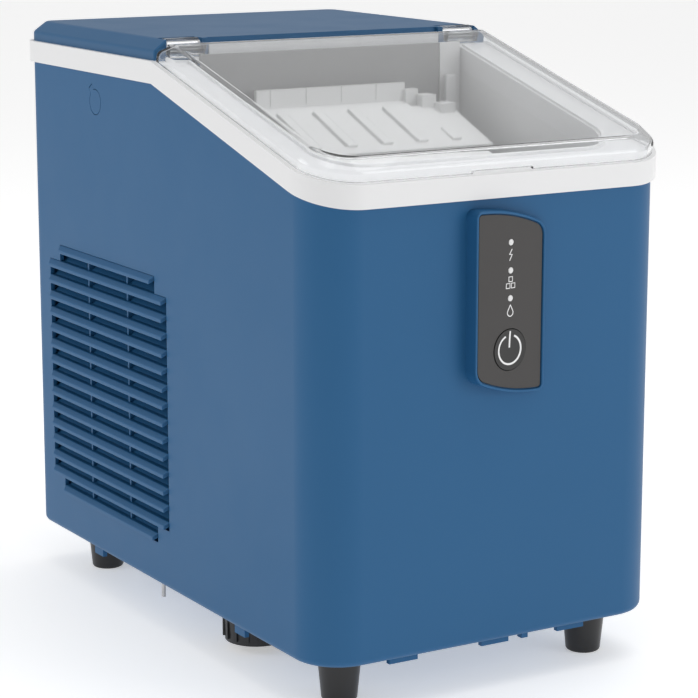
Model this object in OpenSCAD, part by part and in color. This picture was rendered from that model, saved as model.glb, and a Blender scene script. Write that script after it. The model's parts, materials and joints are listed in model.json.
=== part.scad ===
/* [Overall] */
// Width over the white trim
trim_w = 216; // [206:1:260]
// Depth over the white trim
trim_d = 344; // [334:1:414]
// Height from the table to the top of the rear deck
overall_h = 326.5; // [316:0.5:392]
// Height of the gap under the shell, filled by the feet
shell_lift = 25.5; // [21:0.5:31]

/* [Shell] */
// Thickness of the moulded walls
wall = 2.4; // [2:0.1:3]
// Radius of the two front corners
front_r = 25.5; // [21:0.5:31]
// Radius of the two rear corners
rear_r = 13.5; // [11:0.5:16]
// How far the trim stands out over the shell
trim_over = 2.5; // [2.4:0.1:3]
// Height of the white trim band
trim_h = 12; // [10:0.5:14]
// Fall of the lid from the deck to the front
slope_angle = 15.1; // [12.6:0.1:16]
// Where the slope starts, behind the middle of the object
kink_y = 2.3; // [0:0.1:4]
// Rise of the deck and of the lid above the trim
deck_rise = 11; // [10:0.5:12]
// Height of the upright band round the deck and the lid
band_h = 5.2; // [4:0.1:6]
// Width of the slanted border above that band
border_w = 7.5; // [6:0.5:9]

/* [Louvres] */
// Number of full-length louvres on each side
louvre_count = 14; // [10:1:14]
// Step from one louvre to the next
louvre_pitch = 9.6; // [9:0.1:9.8]
// Length of a full louvre
louvre_len = 150; // [120:1:152]
// Inset of each short louvre end, above and below the full ones
louvre_inset = 14; // [8:1:20]
// How far the louvre lips stand out of the shell
lip_out = 2.2; // [1.5:0.1:2.4]

/* [Control panel] */
// Half width of the dark overlay
overlay_hw = 21.5; // [17.5:0.5:24]
// Half height of the dark overlay
overlay_hh = 46; // [40:0.5:52]
// How far the left edge of the panel stands out
panel_proud = 9; // [7.5:0.1:11]
// How far the right edge of the panel stands out
panel_low = 2.6; // [2.4:0.1:4]
// Radius of the power button
button_r = 10.5; // [8.5:0.1:12]
// Travel of the power button
button_travel = 1.2; // [1:0.1:1.4]

/* [Ice mechanism] */
// Outer radius of the half-round water tray
tray_r = 30; // [28:0.5:31]
// Length of the water tray
tray_len = 120; // [100:1:122]
// Number of freezing fingers in each of the two rows
finger_count = 5; // [3:1:5]
// Radius of a freezing finger
finger_r = 4.3; // [3.5:0.1:4.6]
// Half width of the ice bin
bin_hw = 84; // [76:1:88]

/* [Cooling] */
// Outer radius of the compressor can
can_r = 44; // [37:1:45]
// Side of the square fan frame
fan_size = 120; // [100:1:122]
// Number of fan blades
blade_count = 7; // [5:1:9]

/* [Feet and drain] */
// Radius of a foot where it meets the base
foot_top_r = 11.8; // [10:0.1:13]
// Radius of a foot on the table
foot_low_r = 9.2; // [8:0.1:10]
// Radius of the drain cap
cap_r = 18; // [15:0.5:20]

/* [Hidden] */
$fn = 48;
fit = 0.4;                       // gap between fixed pieces that slot together
run = 0.05;                      // radial running fit of pins and shafts
touch = 0.01;                    // overlap that joins solids of one piece
shell_w = trim_w - 2 * trim_over;
shell_d = trim_d - 2 * trim_over;
sx = shell_w / 2;
sy = shell_d / 2;
trim_top_z = overall_h - deck_rise;
trim_low_z = trim_top_z - trim_h;
reach = trim_d;                  // longer than anything it cuts
rear_reach_y = sy + panel_proud;

// Front bin
bin_front_y = -sy + 21;
bin_back_y = kink_y - 5.7;
bin_floor_z = shell_lift + 36;
bin_r = 20;
bin_rear_r = 2;
basket_top_z = 236;
basket_z = 152;

// Tray and evaporator
tray_y = 38;
tray_z = trim_top_z - 37.5;
tray_wall = 2;
shaft_r = 4;
mech_x = 69;
finger_span = tray_len - 34;
tube_dy = -9;                    // the evaporator's tube, from the tray's axis
tube_dz = 13.6;
tube_r = 3;
arm_x = -tray_len / 2 - 12;      // where the suction pipe rises to the tube

// Ice shovel
ramp_tilt = 21.5;
ramp_len = 56;
foot_z = tray_z + 9;
wall_y = bin_back_y - 8.6;
runner_z = tray_z - 15.4;
runner_t = 2;
shovel_x0 = -53.5;
shovel_x1 = 41;
shovel_x2 = 66;
plate = 2.4;
curtain_z = runner_z - 0.2;
curtain_x = bin_hw - 1.6;
lever_x = 73;
lever_z = tray_z + 8;

// Panel
panel_x = 2.5;
panel_drop = 53.4;               // the panel's middle, under the trim's front edge
panel_z = line_z(-sy) - panel_drop;
panel_yaw = asin((panel_proud - panel_low) / (2 * (overlay_hw + 3)));
panel_mid_y = -sy - (panel_proud + panel_low) / 2;
pocket = 1.6;
overlay_t = 0.9;
button_dz = -24;
led_r = 1.6;
dish_r = 80;                     // radius of the button's hollow face
dish_depth = 0.6;
led_dz = [30.5, 16.3, 2.2];

// Hinge
hinge_y = 8;
hinge_up = 6.5;
hinge_z = trim_top_z + hinge_up;
ear_in = 77;
ear_out = 97.5;
pin_r = 2;
ear_r = 4.6;
gap = 0.5;
rail_hw = ear_in - 4;            // half width of the upstand between the lid's ears
lid_hw = sx - 0.1;
lid_len = (kink_y + sy + trim_over) / cos(slope_angle) - 2;

// Louvres
vent_mid_y = 68;
vent_top_z = 189.5;
blade_in = 7;
vent_y0 = vent_mid_y - louvre_len / 2;
vent_y1 = vent_mid_y + louvre_len / 2;
vent_low_z = vent_top_z - (louvre_count - 1) * louvre_pitch;
vent_mid_z = (vent_top_z + vent_low_z) / 2 - 1;

// Back cover, its screws and gland, and the plug in the left side
back_hw = 80;
back_z0 = shell_lift + 20.5;
back_z1 = trim_low_z - 19.5;
back_screws_x = [-back_hw + 3, back_hw - 3];
back_screws_z = [back_z0 + 3, back_z1 - 3];
slot_pitch = 9;
gland_x = 58;
gland_z = 72;
plug_y = 77;
plug_z = trim_low_z - 16.5;
plug_r = 6.9;
plug_lean = 35;

// Feet
foot_x = sx - 28.6;
foot_fy = -sy + 29;
foot_ry = sy - 36.5;
pan_z = shell_lift + 1.5;
pan_t = 3;
pan_top = pan_z + pan_t;
cap_x = -73;
cap_y = -46;
cap_low_z = 5;
spout_r = 9;
stud_x = -sx + 10.5;
stud_y = 22;

// Pump
pump_x = -53;
pump_y = 22;
pump_z = pan_top + 20;
outlet_x = pump_x + 10;
outlet_y = pump_y + 8;
outlet_z = pan_top + 46;
float_x = 60;
float_y = -60;

// Cooling
can_low = pan_top + 18;
can_top = can_low + 110;
can_x = 10;
can_y = 100;
bolt_dx = 42;
bolt_dy = 40;
fan_x = -sx + 8.9;
fan_t = 25;
cond_x0 = sx - 40;
cond_x1 = sx - 9;
cond_z0 = 52;
cond_z1 = 186;
fin_pitch = 7;
cond_pipe_x = cond_x0 + 8;
suction_z = 216;
discharge_z = 204;
drier_x = 40;
drier_y = 30;
drier_z = 205;
valve_x = 30;
valve_z = 214;
fan_y = vent_mid_y;
fan_z = vent_mid_z;
fan_hole_r = fan_size / 2 - 4;

// ---------- helpers ----------
module box(x0, x1, y0, y1, z0, z1) translate([x0, y0, z0]) cube([x1 - x0, y1 - y0, z1 - z0]);
module rod_x(y, z, r, x0, x1) translate([x0, y, z]) rotate([0, 90, 0]) cylinder(r = r, h = x1 - x0);
module rod_y(x, z, r, y0, y1) translate([x, y1, z]) rotate([90, 0, 0]) cylinder(r = r, h = y1 - y0);
module rod_z(x, y, r, z0, z1) translate([x, y, z0]) cylinder(r = r, h = z1 - z0);
module both_sides() {
  children();
  mirror([1, 0, 0]) children();
}

// Rounded rectangle with its own front and rear corner radii
module rounded(hw, y0, y1, rf, rr) {
  translate([-hw, y0 + rf]) square([2 * hw, y1 - y0 - rf - rr]);
  translate([-hw + rf, y0]) square([2 * (hw - rf), rf + touch]);
  translate([-hw + rr, y1 - rr - touch]) square([2 * (hw - rr), rr + touch]);
  for (s = [-1, 1]) {
    translate([s * (hw - rf), y0 + rf]) circle(r = rf);
    translate([s * (hw - rr), y1 - rr]) circle(r = rr);
  }
}

// Outline of the shell in plan, moved inwards by inset
module plan(inset) rounded(sx - inset, -sy + inset, sy - inset, front_r - inset, rear_r - inset);
module plan_prism(inset, z0, z1) translate([0, 0, z0]) linear_extrude(z1 - z0) plan(inset);

function line_z(y) = trim_low_z - max(0, kink_y - y) * tan(slope_angle);

// Everything under the trim's lower edge, raised by up
module under_line(up) rotate([90, 0, 90]) translate([0, 0, -reach]) linear_extrude(2 * reach)
  polygon([[-reach, -reach], [-reach, line_z(-reach) + up], [kink_y, trim_low_z + up],
           [reach, trim_low_z + up], [reach, -reach]]);

// Frame of the sloping lid: x across, -y down the slope, z square to it
module on_slope() translate([0, kink_y, trim_top_z]) rotate([slope_angle, 0, 0]) children();

// ---------- shell ----------
module panel_window() box(panel_x - 14, panel_x + 14, -sy - 1, -sy + wall + 1, panel_z - 36, panel_z + 36);

module rear_window() box(-back_hw, back_hw, sy - wall - 3, sy + 1, back_z0, back_z1);

module vent_outline(grow) {
  box(-wall - 1, 1, vent_y0 - grow, vent_y1 + grow, vent_low_z - 5 - grow, vent_top_z + grow);
  box(-wall - 1, 1, vent_y0 + louvre_inset - grow, vent_y1 - louvre_inset + grow,
      vent_low_z - 5 - louvre_pitch - grow, vent_top_z + louvre_pitch + grow);
}

module plug_outline(r, x0, x1) {
  rod_x(0, 0, r, x0, x1);
  rotate([-plug_lean, 0, 0]) box(x0, x1, -r / 3.2, r / 3.2, 0, r * 1.45);
}

module outer_shell() color("steelblue") {
  difference() {
    intersection() {
      plan_prism(0, shell_lift, trim_low_z);
      under_line(0);
    }
    plan_prism(wall, shell_lift - 1, trim_low_z + 1);
    rear_window();
    panel_window();
    both_sides() translate([sx + touch, 0, 0]) vent_outline(fit / 2);
    translate([-sx, plug_y, plug_z]) plug_outline(plug_r + fit, -1, wall + 1);
  }
  // ledge that the rear panel is screwed to
  difference() {
    box(-back_hw - 4, back_hw + 4, sy - wall - 2, sy - wall + touch, back_z0 - 4, back_z1 + 4);
    box(-back_hw + 6, back_hw - 6, sy - wall - 3, sy - wall + 1, back_z0 + 6, back_z1 - 6);
    for (x = back_screws_x, z = back_screws_z) rod_y(x, z, 1.4, sy - wall - 3, sy);
  }
}

// One louvre across its section: out is away from the shell
module louvre(y0, y1, z) intersection() {
  translate([0, y1, z]) rotate([90, 0, 0]) linear_extrude(y1 - y0)
    polygon([[0, 0], [lip_out, -2.4], [lip_out, -4.6], [0, -2.6], [-wall - fit, -2.2], [-blade_in, 1.4],
             [-blade_in, 3.8], [-wall - fit, 0]]);
  translate([0, 0, z - 10]) linear_extrude(20)
    polygon([[-blade_in, y0], [0, y0], [lip_out, y0 + lip_out], [lip_out, y1 - lip_out], [0, y1],
             [-blade_in, y1]]);
}

module side_grille() {
  translate([sx, 0, 0]) {
    for (k = [0 : louvre_count - 1]) louvre(vent_y0, vent_y1, vent_top_z - k * louvre_pitch);
    for (z = [vent_top_z + louvre_pitch, vent_low_z - louvre_pitch])
      louvre(vent_y0 + louvre_inset, vent_y1 - louvre_inset, z);
    for (k = [1, 2]) box(-blade_in, -1.2, vent_y0 + k * louvre_len / 3 - 0.8,
      vent_y0 + k * louvre_len / 3 + 0.8, vent_low_z - 4 - louvre_pitch, vent_top_z + louvre_pitch);
    // frame behind the opening
    difference() {
      box(-blade_in, -wall - fit, vent_y0 - 5, vent_y1 + 5, vent_low_z - louvre_pitch - 8,
          vent_top_z + louvre_pitch + 6);
      box(-blade_in - 1, 0, vent_y0 + 1, vent_y1 - 1, vent_low_z - 5, vent_top_z);
      box(-blade_in - 1, 0, vent_y0 + louvre_inset + 1, vent_y1 - louvre_inset - 1,
          vent_low_z - 4 - louvre_pitch, vent_top_z + louvre_pitch);
    }
  }
}
module side_grille_right() color("steelblue") side_grille();
module side_grille_left() color("steelblue") mirror([1, 0, 0]) side_grille();

module rear_panel() color("steelblue") {
  difference() {
    box(-back_hw + fit, back_hw - fit, sy - wall + touch, sy, back_z0 + fit, back_z1 - fit);
    for (x = back_screws_x, z = back_screws_z) rod_y(x, z, 1.6, sy - wall - 1, sy + 1);
    for (k = [0 : 11]) box(-52, 52, sy - wall - 1, sy + 1, 150 + k * slot_pitch, 154 + k * slot_pitch);
    rod_y(gland_x, gland_z, 8, sy - wall - 1, sy + 1);
  }
  for (x = [-17, 17]) box(x - 1.5, x + 1.5, sy - wall - 2, sy - wall + touch, 146, 258);
  // spacers that keep the back off the wall
  for (x = [-62, 62]) box(x - 4, x + 4, sy - touch, rear_reach_y, 116, 132);
}

module rear_panel_screws() color("silver")
  for (x = back_screws_x, z = back_screws_z) {
    rod_y(x, z, 1.3, sy - wall - 6, sy + touch);
    difference() {
      rod_y(x, z, 2.7, sy, sy + 1.6);
      box(x - 0.4, x + 0.4, sy + 0.8, sy + 2, z - 2, z + 2);
      box(x - 2, x + 2, sy + 0.8, sy + 2, z - 0.4, z + 0.4);
    }
  }

module cord_gland() color("black") difference() {
  union() {
    rod_y(gland_x, gland_z, 7.6, sy - wall - 2, sy + touch);
    rod_y(gland_x, gland_z, 9.6, sy, sy + 3);
    rod_y(gland_x, gland_z, 6.2, sy + 2, rear_reach_y);
    rod_y(gland_x, gland_z, 9, sy - wall - 4, sy - wall - touch);
  }
  rod_y(gland_x, gland_z, 3.6, sy - 10, rear_reach_y + 1);
}

module service_plug() color("steelblue") translate([-sx, plug_y, plug_z]) {
  plug_outline(plug_r, 0, wall);
  rod_x(0, 0, 9, wall, wall + 1.2);
}

// ---------- base ----------
module foot_at(x, y) translate([x, y, 0]) difference() {
  cylinder(r1 = foot_low_r, r2 = foot_top_r, h = pan_z);
  translate([0, 0, -1]) cylinder(r = 4.6, h = 9);
  cylinder(r = 2.1, h = pan_z + 1);
}
module foot_front_left() color("black") foot_at(-foot_x, foot_fy);
module foot_front_right() color("black") foot_at(foot_x, foot_fy);
module foot_rear_left() color("black") foot_at(-foot_x, foot_ry);
module foot_rear_right() color("black") foot_at(foot_x, foot_ry);

module foot_screws() color("silver")
  for (x = [-foot_x, foot_x], y = [foot_fy, foot_ry]) {
    rod_z(x, y, 2, 7.9, pan_top + 5);
    difference() {
      rod_z(x, y, 4, 5, 8);
      box(x - 0.5, x + 0.5, y - 3, y + 3, 4, 6);
      box(x - 3, x + 3, y - 0.5, y + 0.5, 4, 6);
    }
    difference() {
      translate([x, y, pan_top]) cylinder(r = 4, h = 3, $fn = 6);
      rod_z(x, y, 1.5, pan_top - 1, pan_top + 1);
    }
  }

module base_pan() color("steelblue") {
  difference() {
    union() {
      plan_prism(wall + fit, pan_z, pan_top);
      difference() {
        plan_prism(wall + fit, pan_top - touch, pan_top + 9);
        plan_prism(2 * wall + fit, pan_top - 1, pan_top + 10);
      }
    }
    for (x = [-foot_x, foot_x], y = [foot_fy, foot_ry]) rod_z(x, y, 2.1, pan_z - 1, pan_top + 1);
    rod_z(cap_x, cap_y, spout_r + fit, pan_z - 1, pan_top + 1);
    for (i = [-1, 1], j = [-1, 1])
      rod_z(can_x + i * bolt_dx, can_y + j * bolt_dy, 2.6, pan_z - 1, pan_top + 1);
    rod_z(stud_x, stud_y, 1.3, pan_z - 1, pan_top + 1);
    for (k = [0 : 8]) box(-30, 30, 30 + k * slot_pitch, 34 + k * slot_pitch, pan_z - 1, pan_top + 1);
  }
  // snap tabs that hold the shell
  for (y = [-81, 91]) {
    box(-sx + wall + fit + 0.4, -sx + wall + fit + 3, y - 5.5, y + 5.5, pan_z - 6, pan_z + touch);
    box(sx - wall - fit - 3, sx - wall - fit - 0.4, y - 5.5, y + 5.5, pan_z - 6, pan_z + touch);
  }
  for (x = [4, -52, 52]) box(x - 8.5, x + 8.5, -sy + wall + fit + 4, -sy + wall + fit + 7,
    pan_z - 5.5, pan_z + touch);
  box(20, 24, -sy + wall + fit + 3, -sy + wall + fit + 7, pan_z - 5, pan_z + touch);
}

module earth_stud() color("silver") {
  rod_z(stud_x, stud_y, 1.2, pan_z - 14, pan_top + 12);
  translate([stud_x, stud_y, pan_top]) cylinder(r = 2.6, h = 2.4, $fn = 6);
}

module drain_spout() color("whitesmoke") difference() {
  union() {
    rod_z(cap_x, cap_y, spout_r, cap_low_z + 4, bin_floor_z);
    rod_z(cap_x, cap_y, spout_r + 4, pan_top, pan_top + 2);
    for (z = [12, 15, 18]) rod_z(cap_x, cap_y, spout_r + 0.7, z, z + 1.2);
  }
  rod_z(cap_x, cap_y, 6, 0, bin_floor_z + 1);
}

module drain_cap() color("black") difference() {
  union() {
    translate([cap_x, cap_y, cap_low_z]) cylinder(r1 = cap_r - 0.8, r2 = cap_r, h = 18);
    for (k = [0 : 15]) translate([cap_x, cap_y, 0]) rotate([0, 0, k * 22.5])
      box(cap_r - 1.2, cap_r + 0.5, -1, 1, cap_low_z + 2, cap_low_z + 17);
  }
  rod_z(cap_x, cap_y, spout_r + 1, cap_low_z + 3, cap_low_z + 19);
  rod_z(cap_x, cap_y, cap_r - 2.6, cap_low_z + 14, cap_low_z + 19);
}

// ---------- trim, deck and lid ----------
module bin_opening(grow, z0, z1) translate([0, 0, z0]) linear_extrude(z1 - z0)
  rounded(bin_hw + grow, bin_front_y - grow, bin_back_y + grow, bin_r + grow, bin_rear_r);

module trim_frame() color("white") {
  difference() {
    intersection() {
      plan_prism(-trim_over, line_z(-reach / 2) - 20, trim_top_z);
      under_line(trim_h);
    }
    difference() {
      under_line(0);
      // rim that drops inside the shell
      difference() {
        plan_prism(wall + fit, 0, overall_h);
        plan_prism(2 * wall + fit, -1, overall_h + 1);
        under_line(-4);
      }
    }
    bin_opening(0, 0, overall_h);
    box(-bin_hw + 2, mech_x - 2, 10, sy - 18, 0, overall_h);
    // finger scoop under the front edge of the lid
    translate([0, -sy - trim_over - 1.4, line_z(-sy)]) rotate([9, 0, 0]) box(-17.5, 17.5, -3, 1.4, 1, 30);
  }
  // upstand behind the lid, between its ears
  box(-rail_hw, rail_hw, kink_y + gap, kink_y + gap + 2, trim_top_z - 1, overall_h - 3);
  // raised rim round the bin mouth
  difference() {
    intersection() {
      bin_opening(3.2, 100, overall_h);
      under_line(trim_h + 1.4);
      box(-reach, reach, -reach, kink_y - 5.8, 0, overall_h);
    }
    under_line(trim_h - touch);
    bin_opening(1.4, 0, overall_h + 1);
  }
}

module chamfered(hw, y0, y1, rf, rr, h, band, border) hull() {
  linear_extrude(band) rounded(hw, y0, y1, rf, rr, $fn = 32);
  linear_extrude(h) rounded(hw - border, y0 + (rf > 2 * border ? border : 0),
    y1 - (rr > border ? border : 0), max(rf - border, 1), max(rr - border, 1), $fn = 32);
}

module deck_block(inset, front, h) chamfered(sx - inset, kink_y + gap + front, sy - inset, 1.2,
  rear_r - inset, h, band_h - inset / 2, border_w);

module ear_notch(grow) box(ear_in - grow, ear_out + grow, kink_y - 2, hinge_y + ear_r + 1,
  trim_top_z - 1, overall_h + 1);

module top_deck() color("steelblue") difference() {
  union() {
    difference() {
      translate([0, 0, trim_top_z]) deck_block(0, 0, deck_rise);
      translate([0, 0, trim_top_z - touch]) deck_block(wall, 2 * wall + 1, deck_rise - wall);
    }
    both_sides() box(ear_in - gap - 2.2, ear_out + gap + 2.2, kink_y + gap + 1,
      hinge_y + ear_r + 3, trim_top_z, trim_top_z + band_h + 3);
  }
  box(-rail_hw - fit, rail_hw + fit, kink_y - 1, kink_y + gap + 2 + fit, trim_top_z - 1, overall_h + 1);
  both_sides() ear_notch(gap);
  both_sides() rod_x(hinge_y, hinge_z, pin_r, ear_in - gap - 2, ear_out + gap + 2);
}

module lid_hinge_pins() color("silver") both_sides()
  rod_x(hinge_y, hinge_z, pin_r, ear_in - gap - 2, ear_out + gap + 2);

module lid_block(inset, h) chamfered(lid_hw - inset, -lid_len + inset, -gap - inset,
  front_r - inset, 1.2, h, band_h - inset / 2, border_w);

module lid() color([0.85, 0.9, 0.95, 0.5]) difference() {
  union() {
    on_slope() difference() {
      translate([0, 0, 0.25]) lid_block(0, deck_rise - 0.25);
      translate([0, 0, -touch]) lid_block(2.2, deck_rise - 2.4);
      // finger notch
      box(-18, 18, -lid_len - 1, -lid_len + 5, -1, 1.6);
    }
    both_sides() {
      rod_x(hinge_y, hinge_z, ear_r, ear_in, ear_out);
      on_slope() box(ear_in, ear_out, -gap - 2.3, 7, 1.1, 8.4);
    }
  }
  both_sides() rod_x(hinge_y, hinge_z, pin_r + run, ear_in - 1, ear_out + 1);
}

// ---------- control panel ----------
function arc(cx, cy, r, a0, a1, n) = [for (i = [0 : n]) let (a = a0 + (a1 - a0) * i / n)
  [cx + r * cos(a), cy + r * sin(a)]];

// Half of the leaf outline: small corner, long falling arc, round corner
function leaf_half(m) = let (hw = overlay_hw + m, ht = overlay_hh + m, big = 98 + m, rs = 2 + m,
  rb = 7 + m, cz = ht - big, dx = 2 * hw - rs - rb, fz = cz + sqrt(pow(big - rb, 2) - dx * dx),
  a = atan2(fz - cz, dx))
  concat(arc(-hw + rs, ht - rs, rs, 180, 90, 5), arc(-hw + rs, cz, big, 90, a, 10),
         arc(hw - rb, fz, rb, a, 0, 8));
function leaf(m) = concat(leaf_half(m), [for (p = leaf_half(m)) -p]);

// Frame of the panel face: x across it, z up, -y out of it
module on_panel() translate([panel_x, panel_mid_y, panel_z]) rotate([0, 0, panel_yaw]) children();
module leaf_plate(m, y0, y1) translate([0, y1, 0]) rotate([90, 0, 0]) linear_extrude(y1 - y0)
  polygon(leaf(m));

module panel_plinth() color("steelblue") difference() {
  hull() {
    on_panel() leaf_plate(1.6, 0, 1);
    translate([panel_x, -sy - 0.4, panel_z]) leaf_plate(2, 0, 0.4);
  }
  on_panel() leaf_plate(0.3, -1, pocket);
  on_panel() rod_y(0, button_dz, button_r + 1.6, -1, 30);
  on_panel() for (z = led_dz) rod_y(0, z, led_r + 0.5, -1, 30);
}

module panel_overlay() color([0.28, 0.27, 0.27]) on_panel() difference() {
  leaf_plate(-0.3, pocket - overlay_t, pocket);
  rod_y(0, button_dz, button_r + 0.35, -1, 5);
  for (z = led_dz) rod_y(0, z, led_r + 0.1, -1, 5);
}

module power_button() color([0.2, 0.2, 0.2]) on_panel() {
  difference() {
    rod_y(0, button_dz, button_r, pocket - 1.3, pocket + 2.2);
    translate([0, pocket - 1.3 + dish_depth - dish_r, button_dz]) sphere(r = dish_r, $fn = 64);
  }
  rod_y(0, button_dz, 3, pocket + 2, 12 - button_travel);
}

module indicator_lenses() color("white") on_panel()
  for (z = led_dz) rod_y(0, z, led_r, pocket - overlay_t - 0.2, 8);

module control_board() color("green") translate([panel_x, 0, 0]) {
  translate([0, 0, panel_z]) {
    difference() {
      box(-20, 20, -sy + 9, -sy + 10.6, -42, 42);
      for (x = [-17, 17], z = [-39, 39]) rod_y(x, z, 1.6, -sy + 8, -sy + 12);
    }
    box(-3.5, 3.5, -sy + 6.5, -sy + 9.1, button_dz - 3.5, button_dz + 3.5);
    box(-12, 8, -sy + 10.5, -sy + 12.6, 8, 28);
    box(-14, 14, -sy + 10.5, -sy + 14, -40, -32);
  }
  // posts that hold the board to the shell
  for (x = [-17, 17], z = [panel_z - 39, panel_z + 39]) rod_y(x, z, 1.5, -sy + wall, -sy + 12);
}

// ---------- ice bin ----------
module bin_liner() color("white") {
  bin_walls();
  // ledges that carry the basket
  for (x = [-bin_hw - touch, bin_hw - 18 + touch], y = [bin_front_y + 24, bin_back_y - 34])
    box(x, x + 18, y, y + 12, basket_z - 8, basket_z - 0.3);
}

module bin_walls() difference() {
  intersection() {
    bin_opening(wall, bin_floor_z, overall_h);
    under_line(0);
  }
  bin_opening(0, bin_floor_z + wall, overall_h);
  box(-bin_hw + 2, bin_hw - 2, bin_back_y - 1, bin_back_y + wall + 8, 262, overall_h);
  rod_z(cap_x, cap_y, 6, bin_floor_z - 1, bin_floor_z + wall + 1);
  rod_y(pump_x, bin_floor_z + 9, 3, bin_back_y - 2, bin_back_y + wall + 1);
}

module bin_insulation() color("gainsboro") difference() {
  intersection() {
    bin_opening(wall + 7, bin_floor_z - 7, overall_h);
    under_line(-8);
    box(-reach, reach, -reach, bin_back_y + wall + 5, 0, overall_h);
  }
  bin_opening(wall + fit, bin_floor_z - fit, overall_h);
  box(-bin_hw - wall, bin_hw + wall, bin_back_y - 2, bin_back_y + 40, 240, overall_h);
  rod_z(cap_x, cap_y, spout_r + fit, bin_floor_z - 9, bin_floor_z);
  rod_y(pump_x, bin_floor_z + 9, 5, bin_back_y - 2, bin_back_y + 12);
  // pocket for the control board
  box(panel_x - 22, panel_x + 22, -sy, -sy + 15, panel_z - 45, panel_z + 45);
}

module ice_basket() color("whitesmoke") {
  hw = bin_hw - 8;
  y0 = bin_front_y + 5;
  y1 = bin_back_y - 8;
  difference() {
    translate([0, 0, basket_z]) linear_extrude(basket_top_z - basket_z) rounded(hw, y0, y1, 14, 8);
    translate([0, 0, basket_z + 2]) linear_extrude(basket_top_z) rounded(hw - 2, y0 + 2, y1 - 2, 12, 6);
    for (k = [-4 : 4]) box(k * 15 - 3, k * 15 + 3, y0 + 14, y1 - 14, basket_z - 1, basket_z + 3);
  }
  difference() {
    translate([0, 0, basket_top_z - 3]) linear_extrude(3) rounded(hw + 3, y0 - 3, y1 + 3, 17, 11);
    translate([0, 0, basket_top_z - 4]) linear_extrude(5) rounded(hw - 2, y0 + 2, y1 - 2, 12, 6);
  }
}

// ---------- ice mechanism ----------
module evaporator_curtain() color("gray")
  box(-curtain_x, mech_x - fit, bin_back_y - 2.2, bin_back_y - 0.2, curtain_z, trim_top_z + 1.4);

module evaporator() color("silver") {
  difference() {
    box(-finger_span / 2 - 7, finger_span / 2 + 7, tray_y - 14, tray_y + 14, tray_z + 4, tray_z + 11);
    for (s = [-1, 1]) rod_z(s * finger_span / 2, tray_y, 1.6, tray_z + 3, tray_z + 12);
  }
  for (i = [0 : finger_count - 1], j = [-1, 1]) {
    x = -finger_span / 2 + i * finger_span / (finger_count - 1);
    rod_z(x, tray_y + j * 8, finger_r, tray_z - 17, tray_z + 4.1);
    translate([x, tray_y + j * 8, tray_z - 17]) sphere(r = finger_r, $fn = 24);
  }
  rod_x(tray_y + tube_dy, tray_z + tube_dz, tube_r, -tray_len / 2 - 8, tray_len / 2 + 6);
  // hangers to the trim
  for (x = [-30, 30]) box(x - 5, x + 5, tray_y - 12, tray_y - 3, tray_z + 10.9, trim_low_z - 1);
  box(-36, 36, kink_y, tray_y - 3, trim_low_z - 2, trim_low_z);
}

module water_tray() color("white") {
  difference() {
    rod_x(tray_y, tray_z, tray_r, -tray_len / 2, tray_len / 2);
    rod_x(tray_y, tray_z, tray_r - tray_wall, -tray_len / 2 + plate, tray_len / 2 - plate);
    box(-tray_len, tray_len, tray_y - 40, tray_y + 40, tray_z, tray_z + 40);
  }
  // round bosses of the end walls
  rod_x(tray_y, tray_z, 7, -tray_len / 2, -tray_len / 2 + plate);
  rod_x(tray_y, tray_z, 7, tray_len / 2 - plate, tray_len / 2);
  rod_x(tray_y, tray_z, shaft_r, -tray_len / 2 - 7, -tray_len / 2 + touch);
  rod_x(tray_y, tray_z, shaft_r, tray_len / 2 - touch, mech_x + 6);
}

module tray_bearing_bracket() color("white") difference() {
  union() {
    box(-tray_len / 2 - 7, -tray_len / 2 - 2, tray_y - 12, tray_y + 12, tray_z - 34, trim_low_z);
    box(-bin_hw - 6, -tray_len / 2 - 6, tray_y - 12, tray_y + 12, trim_low_z - 3, trim_low_z);
  }
  rod_x(tray_y, tray_z, shaft_r + run, -tray_len / 2 - 8, -tray_len / 2);
  rod_x(tray_y + tube_dy, tray_z + tube_dz, tube_r + fit, -tray_len / 2 - 9, -tray_len / 2);
}

module tray_gearmotor() color("dimgray") difference() {
  union() {
    box(mech_x + 3, bin_hw - 1, tray_y - 16, tray_y + 16, tray_z - 22, tray_z + 16);
    box(mech_x + 6, bin_hw - 1, tray_y - 8, tray_y + 8, tray_z + 15.9, trim_low_z);
    rod_x(tray_y, tray_z, 7, mech_x + 1, mech_x + 3.1);
  }
  rod_x(tray_y, tray_z, shaft_r + run, mech_x, mech_x + 8);
}

module mechanism_cover() color("white") difference() {
  union() {
    box(mech_x, curtain_x, bin_back_y - 2.2, bin_back_y - 0.2, curtain_z, trim_top_z + 1.4);
    intersection() {
      box(mech_x, mech_x + 1.2, bin_back_y - 1, 70, curtain_z, trim_low_z - fit);
      under_line(-fit);
    }
  }
  rod_x(tray_y, tray_z, 7.6, mech_x - 1, mech_x + 3);
  rod_y(lever_x, lever_z, 2 + run, bin_back_y - 3, bin_back_y + 1);
}

module runner(x) translate([x, 0, 0]) rotate([90, 0, 90]) linear_extrude(runner_t)
  polygon([[wall_y - 9, runner_z], [wall_y - 9, foot_z - 4.5], [wall_y - 50, foot_z - 21],
           [wall_y - 50, runner_z]]);

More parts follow.
